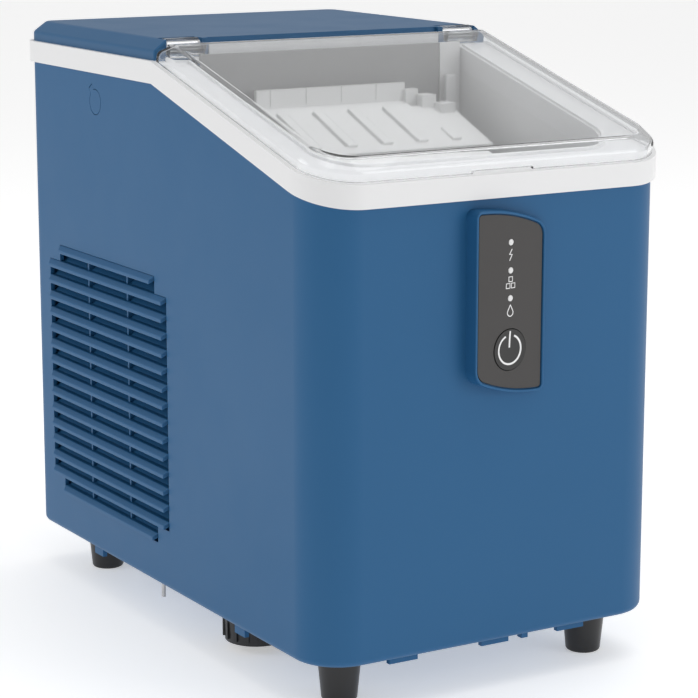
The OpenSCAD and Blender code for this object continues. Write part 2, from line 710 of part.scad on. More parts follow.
module ice_shovel() color("white") {
  runner(shovel_x0);
  runner(shovel_x2 - runner_t);
  box(shovel_x0 + 0.6, shovel_x1, wall_y - 1.2, wall_y + 1.2, foot_z - 2, foot_z + 9.7);
  translate([0, wall_y, foot_z]) rotate([ramp_tilt, 0, 0]) {
    translate([0, 0, -plate]) linear_extrude(plate) polygon([[shovel_x0, -ramp_len],
      [shovel_x2, -ramp_len], [shovel_x2, -8], [shovel_x1, -8], [shovel_x1, 0], [shovel_x0, 0]]);
    for (k = [0 : 3]) box(-44.2 + k * 22.2, -38.8 + k * 22.2, -49, -8, -1, 1.1);
    box(shovel_x1 + 3, shovel_x1 + 8.5, -49, -36, -1, 1.1);
  }
  // knuckles on the driven side
  box(shovel_x1 - 1, shovel_x1 + 7, -16, -11, foot_z - 8, foot_z + 6);
  box(shovel_x1 + 6, shovel_x1 + 15, -22, -13, foot_z - 9, foot_z + 3);
  box(shovel_x1 + 14, shovel_x1 + 23.5, -29, -19, foot_z - 9.5, foot_z - 1.5);
}

module shovel_rails() color("white") {
  for (x = [shovel_x0 - 3, shovel_x2 - 4])
    box(x, x + 6, -98, bin_back_y - 2.2, runner_z - 3.2, runner_z - fit / 2);
  box(-bin_hw + touch, bin_hw - touch, bin_back_y - 8, bin_back_y - 2.2, runner_z - 6.4,
      runner_z - 3.1);
}

module ice_full_lever() color("white") {
  rod_y(lever_x, lever_z, 2, bin_back_y - 6, bin_back_y - 0.3);
  box(lever_x - 3, lever_x + 3, bin_back_y - 7.6, bin_back_y - 4.6, lever_z - 3, lever_z + 13);
}

// ---------- water ----------
module water_pump() color("black") difference() {
  union() {
    rod_y(pump_x, pump_z, 17, pump_y, pump_y + 20);
    rod_y(pump_x, pump_z, 12, pump_y + 19.9, pump_y + 38);
    box(pump_x - 16, pump_x + 16, pump_y + 2, pump_y + 16, pan_top, pan_top + 8);
    rod_y(pump_x, pump_z, 5, pump_y - 6, pump_y + 1);
    rod_z(outlet_x, outlet_y, 4.4, pan_top + 30, outlet_z);
  }
  rod_y(pump_x, pump_z, 14.5, pump_y + 2, pump_y + 18);
  rod_y(pump_x, pump_z, 2.5, pump_y - 7, pump_y + 3);
  rod_z(outlet_x, outlet_y, 2.4, pump_z, outlet_z + 1);
}

module pump_impeller() color("orange") {
  rod_y(pump_x, pump_z, 4, pump_y + 4, pump_y + 15);
  for (k = [0 : 5]) translate([pump_x, 0, pump_z]) rotate([0, k * 60, 0])
    box(-0.8, 0.8, pump_y + 5, pump_y + 14, 3, 13);
  rod_y(pump_x, pump_z, 12.5, pump_y + 14, pump_y + 15.5);
}

// Hose along a square-cornered run, closed by balls at the bends
module run_pipe(pts, r) for (i = [0 : len(pts) - 2]) {
  a = pts[i];
  b = pts[i + 1];
  d = b - a;
  l = norm(d);
  translate(a) rotate([0, acos(d[2] / l), atan2(d[1], d[0])]) cylinder(r = r, h = l, $fn = 24);
  if (i > 0) translate(a) sphere(r = r, $fn = 24);
}

module fill_hose() color("lightgray") {
  run_pipe([[pump_x, bin_back_y, bin_floor_z + 9], [pump_x, pump_y - 12, bin_floor_z + 9],
            [pump_x, pump_y - 12, pump_z], [pump_x, pump_y - 6, pump_z]], 2.4);
}

module pump_hose() color("lightgray") {
  run_pipe([[outlet_x, outlet_y, outlet_z], [outlet_x, outlet_y, 236], [outlet_x, tray_y + 42, 236],
            [outlet_x, tray_y + 42, trim_top_z - 2.5], [outlet_x, tray_y - 10, trim_top_z - 2.5],
            [outlet_x, tray_y - 10, tray_z + 18]], 3);
}

module float_stem() color("white") {
  rod_z(float_x, float_y, 2, bin_floor_z + wall, bin_floor_z + 36);
  rod_z(float_x, float_y, 4, bin_floor_z + 35.9, bin_floor_z + 38);
  rod_z(float_x, float_y, 5, bin_floor_z + wall, bin_floor_z + wall + 2);
}

module water_float() color("orange") difference() {
  rod_z(float_x, float_y, 9, bin_floor_z + wall + 3, bin_floor_z + wall + 17);
  rod_z(float_x, float_y, 2 + run, bin_floor_z, bin_floor_z + 30);
}

// ---------- cooling ----------
module compressor() color([0.12, 0.12, 0.12]) {
  translate([can_x, can_y, can_low]) rotate_extrude() {
    translate([0, 8]) square([can_r, 84]);
    translate([0, 0]) square([can_r - 12, 110]);
    translate([can_r - 12, 92]) circle(r = 12);
    translate([0, 92]) square([can_r - 12, 12]);
    translate([can_r - 12, 12]) circle(r = 12);
    translate([0, 12]) square([can_r, 4]);
  }
  rod_z(can_x, can_y, can_r + 1.6, can_low + 50, can_low + 56);
  difference() {
    box(can_x - bolt_dx - 8, can_x + bolt_dx + 8, can_y - bolt_dy - 8, can_y + bolt_dy + 8,
        pan_top + 14, pan_top + 17);
    for (i = [-1, 1], j = [-1, 1])
      rod_z(can_x + i * bolt_dx, can_y + j * bolt_dy, 2.8, pan_top, pan_top + 20);
  }
  rod_z(can_x, can_y, 24, pan_top + 16, can_low + 1);
  box(can_x - 14, can_x + 14, can_y - can_r - 12, can_y - can_r + 4, can_low + 58, can_low + 88);
}

module compressor_grommets() color("black") for (i = [-1, 1], j = [-1, 1]) difference() {
  union() {
    rod_z(can_x + i * bolt_dx, can_y + j * bolt_dy, 9, pan_top, pan_top + 5);
    rod_z(can_x + i * bolt_dx, can_y + j * bolt_dy, 6.5, pan_top + 4.9, pan_top + 14);
  }
  rod_z(can_x + i * bolt_dx, can_y + j * bolt_dy, 2.8, pan_top - 1, pan_top + 15);
}

module compressor_bolts() color("silver") for (i = [-1, 1], j = [-1, 1])
  translate([can_x + i * bolt_dx, can_y + j * bolt_dy, 0]) {
    rod_z(0, 0, 2.5, pan_z - 1, pan_top + 23);
    translate([0, 0, pan_z - 4]) cylinder(r = 5, h = 4, $fn = 6);
    translate([0, 0, pan_top + 17]) cylinder(r = 5, h = 4, $fn = 6);
  }

module condenser() color("gainsboro") {
  for (k = [0 : 17]) box(cond_x0, cond_x1, 24 + k * fin_pitch, 24.6 + k * fin_pitch, cond_z0, cond_z1);
  for (z = [62 : 22 : 180], x = [cond_x0 + 8, cond_x1 - 8]) rod_y(x, z, 3.5, 17, 150);
  for (z = [62 : 44 : 160], x = [cond_x0 + 8, cond_x1 - 8]) {
    box(x - 2.5, x + 2.5, 14.5, 17.1, z - 2.5, z + 24.5);
  }
  for (y = [19, 146]) box(cond_x0 - 2, cond_x1 + 1, y, y + 1.6, pan_top, cond_z1 + 4);
}

module fan_frame() color("black") {
  difference() {
    box(fan_x, fan_x + fan_t, fan_y - fan_size / 2, fan_y + fan_size / 2, fan_z - fan_size / 2,
        fan_z + fan_size / 2);
    rod_x(fan_y, fan_z, fan_hole_r, fan_x - 1, fan_x + fan_t + 1);
  }
  for (k = [0 : 3]) translate([0, fan_y, fan_z]) rotate([45 + 90 * k, 0, 0])
    box(fan_x + fan_t - 3, fan_x + fan_t, -2.5, 2.5, 18.5, fan_hole_r + 2);
  for (s = [-1, 1]) box(fan_x + 5, fan_x + fan_t, fan_y + s * 50 - 6, fan_y + s * 50 + 6, pan_top,
    fan_z - fan_size / 2 + 1);
}

module fan_motor() color("dimgray") {
  rod_x(fan_y, fan_z, 18.5, fan_x + fan_t - 3, fan_x + fan_t + 12);
  rod_x(fan_y, fan_z, 2, fan_x + 3, fan_x + fan_t - 2.9);
}

module fan_rotor() color("black") {
  difference() {
    rod_x(fan_y, fan_z, 19, fan_x + 2, fan_x + fan_t - 5);
    rod_x(fan_y, fan_z, 2 + run, fan_x + 1, fan_x + fan_t);
  }
  for (k = [0 : blade_count - 1]) translate([fan_x + 11, fan_y, fan_z])
    rotate([360 / blade_count * k, 0, 0]) rotate([0, 0, 38])
      box(-1, 1, -12, 12, 16, fan_hole_r - 3);
}

module suction_pipe() color("peru") run_pipe([[can_x - 20, can_y - 10, can_top],
  [can_x - 20, can_y - 10, suction_z], [arm_x, can_y - 10, suction_z],
  [arm_x, tray_y + tube_dy, suction_z],
  [arm_x, tray_y + tube_dy, tray_z + tube_dz],
  [-tray_len / 2 - 8, tray_y + tube_dy, tray_z + tube_dz]], tube_r);

module discharge_pipe() color("peru") run_pipe([[can_x + 20, can_y, can_top],
  [can_x + 20, can_y, discharge_z], [cond_pipe_x, can_y, discharge_z], [cond_pipe_x, 11.8, discharge_z],
  [cond_pipe_x, 11.8, 172], [cond_pipe_x, 14.5, 172]], 2.6);

module filter_drier() color("peru") {
  run_pipe([[tray_len / 2 + 5, tray_y + tube_dy, tray_z + tube_dz - tube_r],
            [tray_len / 2 + 5, tray_y + tube_dy, drier_z], [drier_x, drier_y, drier_z],
            [drier_x, drier_y, 64], [drier_x, 12.9, 64], [cond_pipe_x, 12.9, 64]], 1.6);
  rod_z(drier_x, drier_y, 8, 90, 150);
}

module gas_valve() color("silver") {
  rod_y(valve_x, valve_z, 6, sy - 41.5, sy - 19.5);
  box(valve_x - 10, valve_x + 10, sy - 19.6, sy - wall, valve_z - 10, valve_z + 14);
}

module power_board() color("green") {
  box(-72, -12, sy - 10, sy - 8.4, 180, 260);
  box(-68, -48, sy - 28, sy - 9.9, 190, 212);
  for (x = [-36, -22]) rod_y(x, 240, 6, sy - 26, sy - 9.9);
  box(-62, -42, sy - 22, sy - 9.9, 232, 250);
  for (x = [-68, -24], z = [184, 256]) rod_y(x, z, 2, sy - 8.5, sy - wall);
}

outer_shell();
side_grille_left();
side_grille_right();
rear_panel();
rear_panel_screws();
base_pan();
foot_front_left();
foot_front_right();
foot_rear_left();
foot_rear_right();
foot_screws();
trim_frame();
top_deck();
service_plug();
cord_gland();
lid();
lid_hinge_pins();
panel_plinth();
panel_overlay();
power_button();
indicator_lenses();
control_board();
bin_liner();
bin_insulation();
ice_basket();
evaporator_curtain();
evaporator();
water_tray();
tray_bearing_bracket();
tray_gearmotor();
mechanism_cover();
ice_shovel();
shovel_rails();
ice_full_lever();
water_pump();
pump_impeller();
fill_hose();
pump_hose();
water_float();
float_stem();
drain_spout();
drain_cap();
compressor();
compressor_grommets();
compressor_bolts();
condenser();
fan_frame();
fan_motor();
fan_rotor();
suction_pipe();
discharge_pipe();
filter_drier();
gas_valve();
power_board();
earth_stud();
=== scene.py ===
"""Looks of a countertop ice maker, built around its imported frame.

Sizes are metres in the frame's own axes: +Z up, -Y out of the front, +X right.
Every new piece is a surface worked out with numpy and rides on a body of the frame.
"""

import json
import logging
import math
from dataclasses import dataclass, field
from enum import Enum
from typing import Callable, Iterable, Sequence

import bmesh
import bpy
import numpy as np
from mathutils import Matrix, Vector

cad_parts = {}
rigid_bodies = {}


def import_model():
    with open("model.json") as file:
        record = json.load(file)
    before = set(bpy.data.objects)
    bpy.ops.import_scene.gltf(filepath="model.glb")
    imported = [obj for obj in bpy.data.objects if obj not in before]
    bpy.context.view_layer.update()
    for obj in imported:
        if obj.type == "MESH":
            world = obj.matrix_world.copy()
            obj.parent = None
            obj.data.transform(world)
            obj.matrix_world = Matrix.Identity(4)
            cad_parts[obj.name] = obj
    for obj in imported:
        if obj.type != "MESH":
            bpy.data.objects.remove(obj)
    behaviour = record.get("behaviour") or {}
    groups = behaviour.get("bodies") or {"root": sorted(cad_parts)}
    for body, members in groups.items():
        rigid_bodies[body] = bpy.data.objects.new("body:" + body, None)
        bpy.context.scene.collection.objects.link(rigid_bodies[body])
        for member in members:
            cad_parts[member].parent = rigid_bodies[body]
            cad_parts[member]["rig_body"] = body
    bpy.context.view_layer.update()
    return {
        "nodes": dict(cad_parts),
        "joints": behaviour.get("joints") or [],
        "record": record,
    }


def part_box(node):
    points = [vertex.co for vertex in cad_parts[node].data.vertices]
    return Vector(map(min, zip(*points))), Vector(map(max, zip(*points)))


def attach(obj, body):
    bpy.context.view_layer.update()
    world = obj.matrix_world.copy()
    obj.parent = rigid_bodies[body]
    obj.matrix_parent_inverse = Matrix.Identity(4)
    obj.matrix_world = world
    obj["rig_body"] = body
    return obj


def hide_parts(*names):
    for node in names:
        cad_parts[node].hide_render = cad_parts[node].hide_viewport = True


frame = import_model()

MM = 0.001
LOG = logging.getLogger("ice_maker")
Array = np.ndarray
Shape = Callable[[float], Array]
Colour = tuple[float, float, float]


# ---------------------------------------------------------------- shader groups

HAND_SCALE = 38.0
STAIN_SCALE = 22.0
WEAR_SPREAD = 2.4
COAT_ROUGHNESS = 0.12
BUMP_STRENGTH = 0.5
GROUP_OUTPUTS = ("Height", "Tone", "Handled")


def new_group(name: str, inputs: dict[str, float], outputs: Sequence[str]) -> bpy.types.NodeTree:
    """Starts a shader node group with float inputs and outputs.

    Args:
        name: the group's name.
        inputs: each input's name and default value.
        outputs: the names of the outputs.

    Returns:
        The node tree, with a Group Input and a Group Output node in it.
    """
    tree = bpy.data.node_groups.new(name, "ShaderNodeTree")
    tree.interface.new_socket("Vector", in_out="INPUT", socket_type="NodeSocketVector")
    for label, value in inputs.items():
        socket = tree.interface.new_socket(label, in_out="INPUT", socket_type="NodeSocketFloat")
        socket.default_value = value
    for label in outputs:
        tree.interface.new_socket(label, in_out="OUTPUT", socket_type="NodeSocketFloat")
    tree.nodes.new("NodeGroupInput").name = "In"
    tree.nodes.new("NodeGroupOutput").name = "Out"
    return tree


def feed(tree: bpy.types.NodeTree, value: object, socket: bpy.types.NodeSocket) -> None:
    """Gives a socket a number, or links another socket to it."""
    if isinstance(value, (int, float)):
        socket.default_value = value
    else:
        tree.links.new(value, socket)


def noise_node(tree: bpy.types.NodeTree, place: bpy.types.NodeSocket, scale: object, detail: float,
               rough: float) -> bpy.types.NodeSocket:
    """Adds a noise texture.

    Args:
        tree: the node tree.
        place: the socket of the point that it is read at.
        scale: its scale, a number or a socket.
        detail: its detail.
        rough: its roughness.

    Returns:
        The socket of its value.
    """
    node = tree.nodes.new("ShaderNodeTexNoise")
    node.inputs["Detail"].default_value = detail
    node.inputs["Roughness"].default_value = rough
    feed(tree, scale, node.inputs["Scale"])
    tree.links.new(place, node.inputs["Vector"])
    return node.outputs["Fac"]


def product(tree: bpy.types.NodeTree, first: object, second: object) -> bpy.types.NodeSocket:
    """Adds a math node that multiplies two sockets or numbers, and returns its value's socket."""
    node = tree.nodes.new("ShaderNodeMath")
    node.operation = "MULTIPLY"
    for socket, value in zip(node.inputs, (first, second)):
        feed(tree, value, socket)
    return node.outputs[0]


def moulded_group() -> None:
    """Moulded plastic: fine spark grain, broad sink and flow, and a mask of where hands wear it."""
    tree = new_group("moulded_plastic", {"Grain": 1800.0, "Flow": 9.0}, GROUP_OUTPUTS)
    start = tree.nodes["In"].outputs
    grain = noise_node(tree, start["Vector"], start["Grain"], 3.0, 0.55)
    flow = noise_node(tree, start["Vector"], start["Flow"], 2.0, 0.5)
    hand = noise_node(tree, start["Vector"], HAND_SCALE, 5.0, 0.6)
    worn = product(tree, product(tree, hand, flow), WEAR_SPREAD)
    for value, label in zip((grain, flow, worn), GROUP_OUTPUTS):
        tree.links.new(value, tree.nodes["Out"].inputs[label])


def drawn_group() -> None:
    """Drawn or brushed metal: fine lines that a Mapping node may stretch, over broad stains."""
    tree = new_group("drawn_metal", {"Grain": 400.0}, GROUP_OUTPUTS)
    start = tree.nodes["In"].outputs
    lines = noise_node(tree, start["Vector"], start["Grain"], 4.0, 0.6)
    stain = noise_node(tree, start["Vector"], STAIN_SCALE, 3.0, 0.5)
    for value, label in zip((lines, lines, stain), GROUP_OUTPUTS):
        tree.links.new(value, tree.nodes["Out"].inputs[label])


class Texture(Enum):
    """Which shader group gives a finish its fine detail."""

    MOULDED = "moulded_plastic"
    DRAWN = "drawn_metal"


@dataclass(frozen=True)
class Finish:
    """One finish: a colour that drifts between two tones, with its own gloss and grain.

    Attributes:
        name: the material's name.
        slot: the record's material slot it stands for; not used.
        colour: the main linear colour.
        drift: the second colour's share of the first, over the broad tone.
        rough: roughness where the surface is clean.
        rough_span: how much rougher the handled places are.
        grain: noise scale of the fine grain, per metre.
        depth: bump distance of the grain.
        metallic: metallic weight.
        coat: clear coat weight.
        texture: the group of the fine detail.
        stretch: stretch of the pattern along X, Y and Z.
        specular: specular level.
    """

    name: str
    slot: str
    colour: Colour
    drift: float = 0.93
    rough: float = 0.4
    rough_span: float = 0.08
    grain: float = 1800.0
    depth: float = 0.00002
    metallic: float = 0.0
    coat: float = 0.0
    texture: Texture = Texture.MOULDED
    stretch: Colour = (1.0, 1.0, 1.0)
    specular: float = 0.5

    def build(self) -> bpy.types.Material:
        """Builds the material: two tones, handled places rougher than clean ones, and fine grain.

        Returns:
            The material.
        """
        material = bpy.data.materials.new(self.name)
        material.use_nodes = True
        tree = material.node_tree
        shader = tree.nodes["Principled BSDF"]
        shader.inputs["Metallic"].default_value = self.metallic
        shader.inputs["Coat Weight"].default_value = self.coat
        shader.inputs["Coat Roughness"].default_value = COAT_ROUGHNESS
        shader.inputs["Specular IOR Level"].default_value = self.specular
        place = tree.nodes.new("ShaderNodeTexCoord")
        turn = tree.nodes.new("ShaderNodeMapping")
        turn.inputs["Scale"].default_value = self.stretch
        tree.links.new(place.outputs["Object"], turn.inputs["Vector"])
        group = tree.nodes.new("ShaderNodeGroup")
        group.node_tree = bpy.data.node_groups[self.texture.value]
        group.inputs["Grain"].default_value = self.grain
        tree.links.new(turn.outputs["Vector"], group.inputs["Vector"])
        tones = tree.nodes.new("ShaderNodeMix")
        tones.data_type = "RGBA"
        tones.inputs["A"].default_value = (*self.colour, 1.0)
        tones.inputs["B"].default_value = (*(c * self.drift for c in self.colour), 1.0)
        tree.links.new(group.outputs["Tone"], tones.inputs["Factor"])
        tree.links.new(tones.outputs["Result"], shader.inputs["Base Color"])
        gloss = tree.nodes.new("ShaderNodeMapRange")
        gloss.inputs["To Min"].default_value = self.rough
        gloss.inputs["To Max"].default_value = self.rough + self.rough_span
        tree.links.new(group.outputs["Handled"], gloss.inputs["Value"])
        tree.links.new(gloss.outputs["Result"], shader.inputs["Roughness"])
        bump = tree.nodes.new("ShaderNodeBump")
        bump.inputs["Distance"].default_value = self.depth
        bump.inputs["Strength"].default_value = BUMP_STRENGTH
        tree.links.new(group.outputs["Height"], bump.inputs["Height"])
        tree.links.new(bump.outputs["Normal"], shader.inputs["Normal"])
        return material


@dataclass(frozen=True)
class ClearLid:
    """Clear moulded plastic, which lets light through to what is under it, with painted dark shade where its faces
    turn from the eye.

    Attributes:
        name: the material's name.
        slot: the record's slot; not used.
        tint: the colour that the plastic gives to what is seen through it.
        edge: painted shade, the darker colour that it takes where its faces turn from the eye, standing in for dark
            reflections.
        rough: roughness of the polished faces.
        worn: how many times rougher the handled places are.
        grain: noise scale of the handled places, per metre.
        rim: share of the turn away from the eye where the painted edge shade begins.
        index: refractive index.
        shade: share of the light that passes into its shadow.
    """

    name: str = "clear_polished_plastic"
    slot: str = "clear_lid"
    tint: Colour = (0.965, 0.975, 0.985)
    # painted shade: the dark colour for faces turned from the eye, standing in for dark reflections
    edge: Colour = (0.30, 0.31, 0.33)
    rough: float = 0.015
    worn: float = 3.0
    grain: float = 260.0
    rim: float = 0.7
    index: float = 1.46
    shade: float = 0.97

    def build(self) -> bpy.types.Material:
        """Builds the clear material: refracting to the eye, open to shadow rays, with painted shade at grazing
        angles.

        Returns:
            The material.
        """
        material = bpy.data.materials.new(self.name)
        material.use_nodes = True
        tree = material.node_tree
        shader = tree.nodes["Principled BSDF"]
        # painted shade: the colour moves towards the dark edge colour as the faces turn from the eye, standing in
        # for dark reflections
        facing = tree.nodes.new("ShaderNodeLayerWeight")
        facing.inputs["Blend"].default_value = 0.5
        rim = tree.nodes.new("ShaderNodeMapRange")
        rim.inputs["From Min"].default_value = self.rim
        tree.links.new(facing.outputs["Facing"], rim.inputs["Value"])
        tones = tree.nodes.new("ShaderNodeMix")
        tones.data_type = "RGBA"
        tones.inputs["A"].default_value = (*self.tint, 1.0)
        tones.inputs["B"].default_value = (*self.edge, 1.0)
        tree.links.new(rim.outputs["Result"], tones.inputs["Factor"])
        tree.links.new(tones.outputs["Result"], shader.inputs["Base Color"])
        shader.inputs["Transmission Weight"].default_value = 1.0
        shader.inputs["IOR"].default_value = self.index
        place = tree.nodes.new("ShaderNodeTexCoord")
        group = tree.nodes.new("ShaderNodeGroup")
        group.node_tree = bpy.data.node_groups[Texture.MOULDED.value]
        group.inputs["Grain"].default_value = self.grain
        tree.links.new(place.outputs["Object"], group.inputs["Vector"])
        gloss = tree.nodes.new("ShaderNodeMapRange")
        gloss.inputs["To Min"].default_value = self.rough
        gloss.inputs["To Max"].default_value = self.rough * self.worn
        tree.links.new(group.outputs["Handled"], gloss.inputs["Value"])
        tree.links.new(gloss.outputs["Result"], shader.inputs["Roughness"])
        clear = tree.nodes.new("ShaderNodeBsdfTransparent")
        clear.inputs["Color"].default_value = (self.shade, self.shade, self.shade, 1.0)
        path = tree.nodes.new("ShaderNodeLightPath")
        blend = tree.nodes.new("ShaderNodeMixShader")
        tree.links.new(path.outputs["Is Shadow Ray"], blend.inputs[0])
        tree.links.new(shader.outputs[0], blend.inputs[1])
        tree.links.new(clear.outputs[0], blend.inputs[2])
        tree.links.new(blend.outputs[0], tree.nodes["Material Output"].inputs["Surface"])
        return material


BLUE = Finish("satin_blue_shell", "blue_shell", (0.020, 0.110, 0.252), 0.95, 0.40, 0.07, 1500, 0.00003,
              specular=0.24)
BLUE_DECK = Finish("satin_blue_deck", "blue_shell", (0.022, 0.108, 0.240), 0.95, 0.38, 0.07, 1500, 0.00003,
                   specular=0.3)
WHITE = Finish("white_trim_plastic", "white_trim", (0.80, 0.80, 0.805), 0.985, 0.27, 0.08, 900, 0.00001)
LINER = Finish("white_liner_plastic", "white_liner", (0.77, 0.77, 0.77), 0.97, 0.33, 0.08, 900, 0.00001)
SHOVEL = Finish("white_shovel_plastic", "white_liner", (0.79, 0.79, 0.785), 0.975, 0.38, 0.08, 1100, 0.00001)
BASKET = Finish("basket_plastic", "basket", (0.80, 0.82, 0.83), 0.96, 0.3, 0.1, 900, 0.00001)
CURTAIN = Finish("grey_curtain_plastic", "grey_curtain", (0.31, 0.31, 0.31), 0.93, 0.42, 0.08, 1100, 0.00002)
FOAM = Finish("bead_foam", "foam", (0.78, 0.78, 0.76), 0.86, 0.85, 0.1, 420, 0.0002)
OVERLAY = Finish("dark_panel_film", "dark_overlay", (0.036, 0.033, 0.032), 0.9, 0.36, 0.08, 2600, 0.00002)
BUTTON = Finish("dark_button_plastic", "dark_button", (0.016, 0.015, 0.015), 0.9, 0.34, 0.1, 2200, 0.00002)
MARKS = Finish("white_panel_ink", "lens", (0.86, 0.86, 0.86), 0.95, 0.5, 0.1, 2200, 0.00001)
LENS = Finish("frosted_lens", "lens", (0.78, 0.78, 0.78), 0.92, 0.22, 0.1, 700, 0.00001, coat=0.5)
BLACK = Finish("black_moulded_plastic", "black_plastic", (0.012, 0.012, 0.013), 0.8, 0.3, 0.12, 1500, 0.00003)
RUBBER = Finish("black_foot_rubber", "rubber_feet", (0.010, 0.010, 0.011), 0.8, 0.26, 0.14, 1100, 0.00003)
BOARD = Finish("green_circuit_board", "circuit_board", (0.02, 0.13, 0.05), 0.7, 0.3, 0.1, 320, 0.00002, coat=0.4)
STEEL = Finish("zinc_plated_steel", "screw_steel", (0.56, 0.56, 0.57), 0.85, 0.3, 0.18, 500, 0.00002,
               1.0, texture=Texture.DRAWN)
PLATED = Finish("nickel_plated_copper", "plated_metal", (0.72, 0.71, 0.69), 0.85, 0.18, 0.18, 300, 0.00001,
                1.0, texture=Texture.DRAWN)
MOTOR = Finish("motor_case_paint", "motor_case", (0.20, 0.20, 0.21), 0.85, 0.42, 0.12, 700, 0.00003)
CAN = Finish("compressor_black_paint", "compressor_black", (0.014, 0.014, 0.015), 0.75, 0.34, 0.16, 180, 0.0001)
FIN = Finish("mill_aluminium", "aluminium_fin", (0.72, 0.73, 0.74), 0.88, 0.32, 0.16, 600, 0.00002,
             1.0, texture=Texture.DRAWN, stretch=(1.0, 1.0, 0.1))
COPPER = Finish("drawn_copper", "copper", (0.72, 0.34, 0.19), 0.7, 0.26, 0.2, 500, 0.00002,
                1.0, texture=Texture.DRAWN)
HOSE = Finish("milky_hose", "hose", (0.62, 0.63, 0.62), 0.92, 0.36, 0.08, 900, 0.00002)
ORANGE = Finish("orange_moulding", "impeller", (0.85, 0.30, 0.05), 0.9, 0.38, 0.1, 900, 0.00002)
CLEAR = ClearLid()
AnyFinish = Finish | ClearLid


def material_of(finish: AnyFinish) -> bpy.types.Material:
    """The finish's material, built the first time that it is asked for."""
    return bpy.data.materials.get(finish.name) or finish.build()


# ---------------------------------------------------------------- surfaces

AXIS_GAP = 0.02 * MM
WELD = 0.002 * MM
FLAT_ANGLE = 0.6
CRISP_ANGLE = 38.0
BEVEL_ANGLE = 40.0


def arc(centre: Sequence[float], radius: float, start: float, end: float, count: int) -> Array:
    """Points on a circle: centre + radius (cos a, sin a), a from start to end degrees.

    Args:
        centre: the circle's centre.
        radius: its radius.
        start: first angle in degrees.
        end: last angle in degrees.
        count: number of points.

    Returns:
        An array of count points.
    """
    angle = np.radians(np.linspace(start, end, count))
    return np.column_stack((centre[0] + radius * np.cos(angle), centre[1] + radius * np.sin(angle)))


def rounded_outline(half: float, low: float, high: float, front: float, rear: float,
                    stations: Array = np.empty(0), count: int = 16) -> Array:
    """Rounded rectangle about x = 0, four arcs joined by straight runs, seen from +Z anticlockwise.

    Args:
        half: half width in x.
        low: lowest y.
        high: highest y.
        front: radius of the two corners at low y.
        rear: radius of the two corners at high y.
        stations: y values of extra points on both long sides.
        count: points on each arc.

    Returns:
        The outline's points.
    """
    front, rear = max(front, 0.2 * MM), max(rear, 0.2 * MM)
    sides = np.sort(np.asarray(stations, float))
    left = np.column_stack((np.full(sides.size, -half), sides[::-1]))
    right = np.column_stack((np.full(sides.size, half), sides))
    return np.vstack((
        arc((-half + front, low + front), front, 180, 270, count),
        arc((half - front, low + front), front, 270, 360, count),
        right,
        arc((half - rear, high - rear), rear, 0, 90, count),
        arc((-half + rear, high - rear), rear, 90, 180, count),
        left,
    ))


def circle_outline(radius: float, count: int = 48) -> Array:
    """A circle of count points about the origin, anticlockwise."""
    return arc((0.0, 0.0), radius, 0, 360 * (1 - 1 / count), count)


def soft_edge(radius: float, steps: int = 4) -> list[tuple[float, float]]:
    """Inset and rise of a quarter round: radius (1 - sin a), radius (1 - cos a), a from 0 to 90."""
    angles = np.radians(np.linspace(0, 90, steps))
    return [(radius * (1 - math.sin(a)), radius * (1 - math.cos(a))) for a in angles]


def placed(points: Array, matrix: Matrix) -> Array:
    """Points moved by a matrix: each is turned by its upper left part, then shifted by its last column."""
    table = np.array(matrix)
    return points @ table[:3, :3].T + table[:3, 3]


def lifted(flat: Array, height: float | Array) -> Array:
    """A flat outline with a height, or one height for each point, as its third coordinate."""
    return np.column_stack((flat, np.broadcast_to(height, len(flat))))


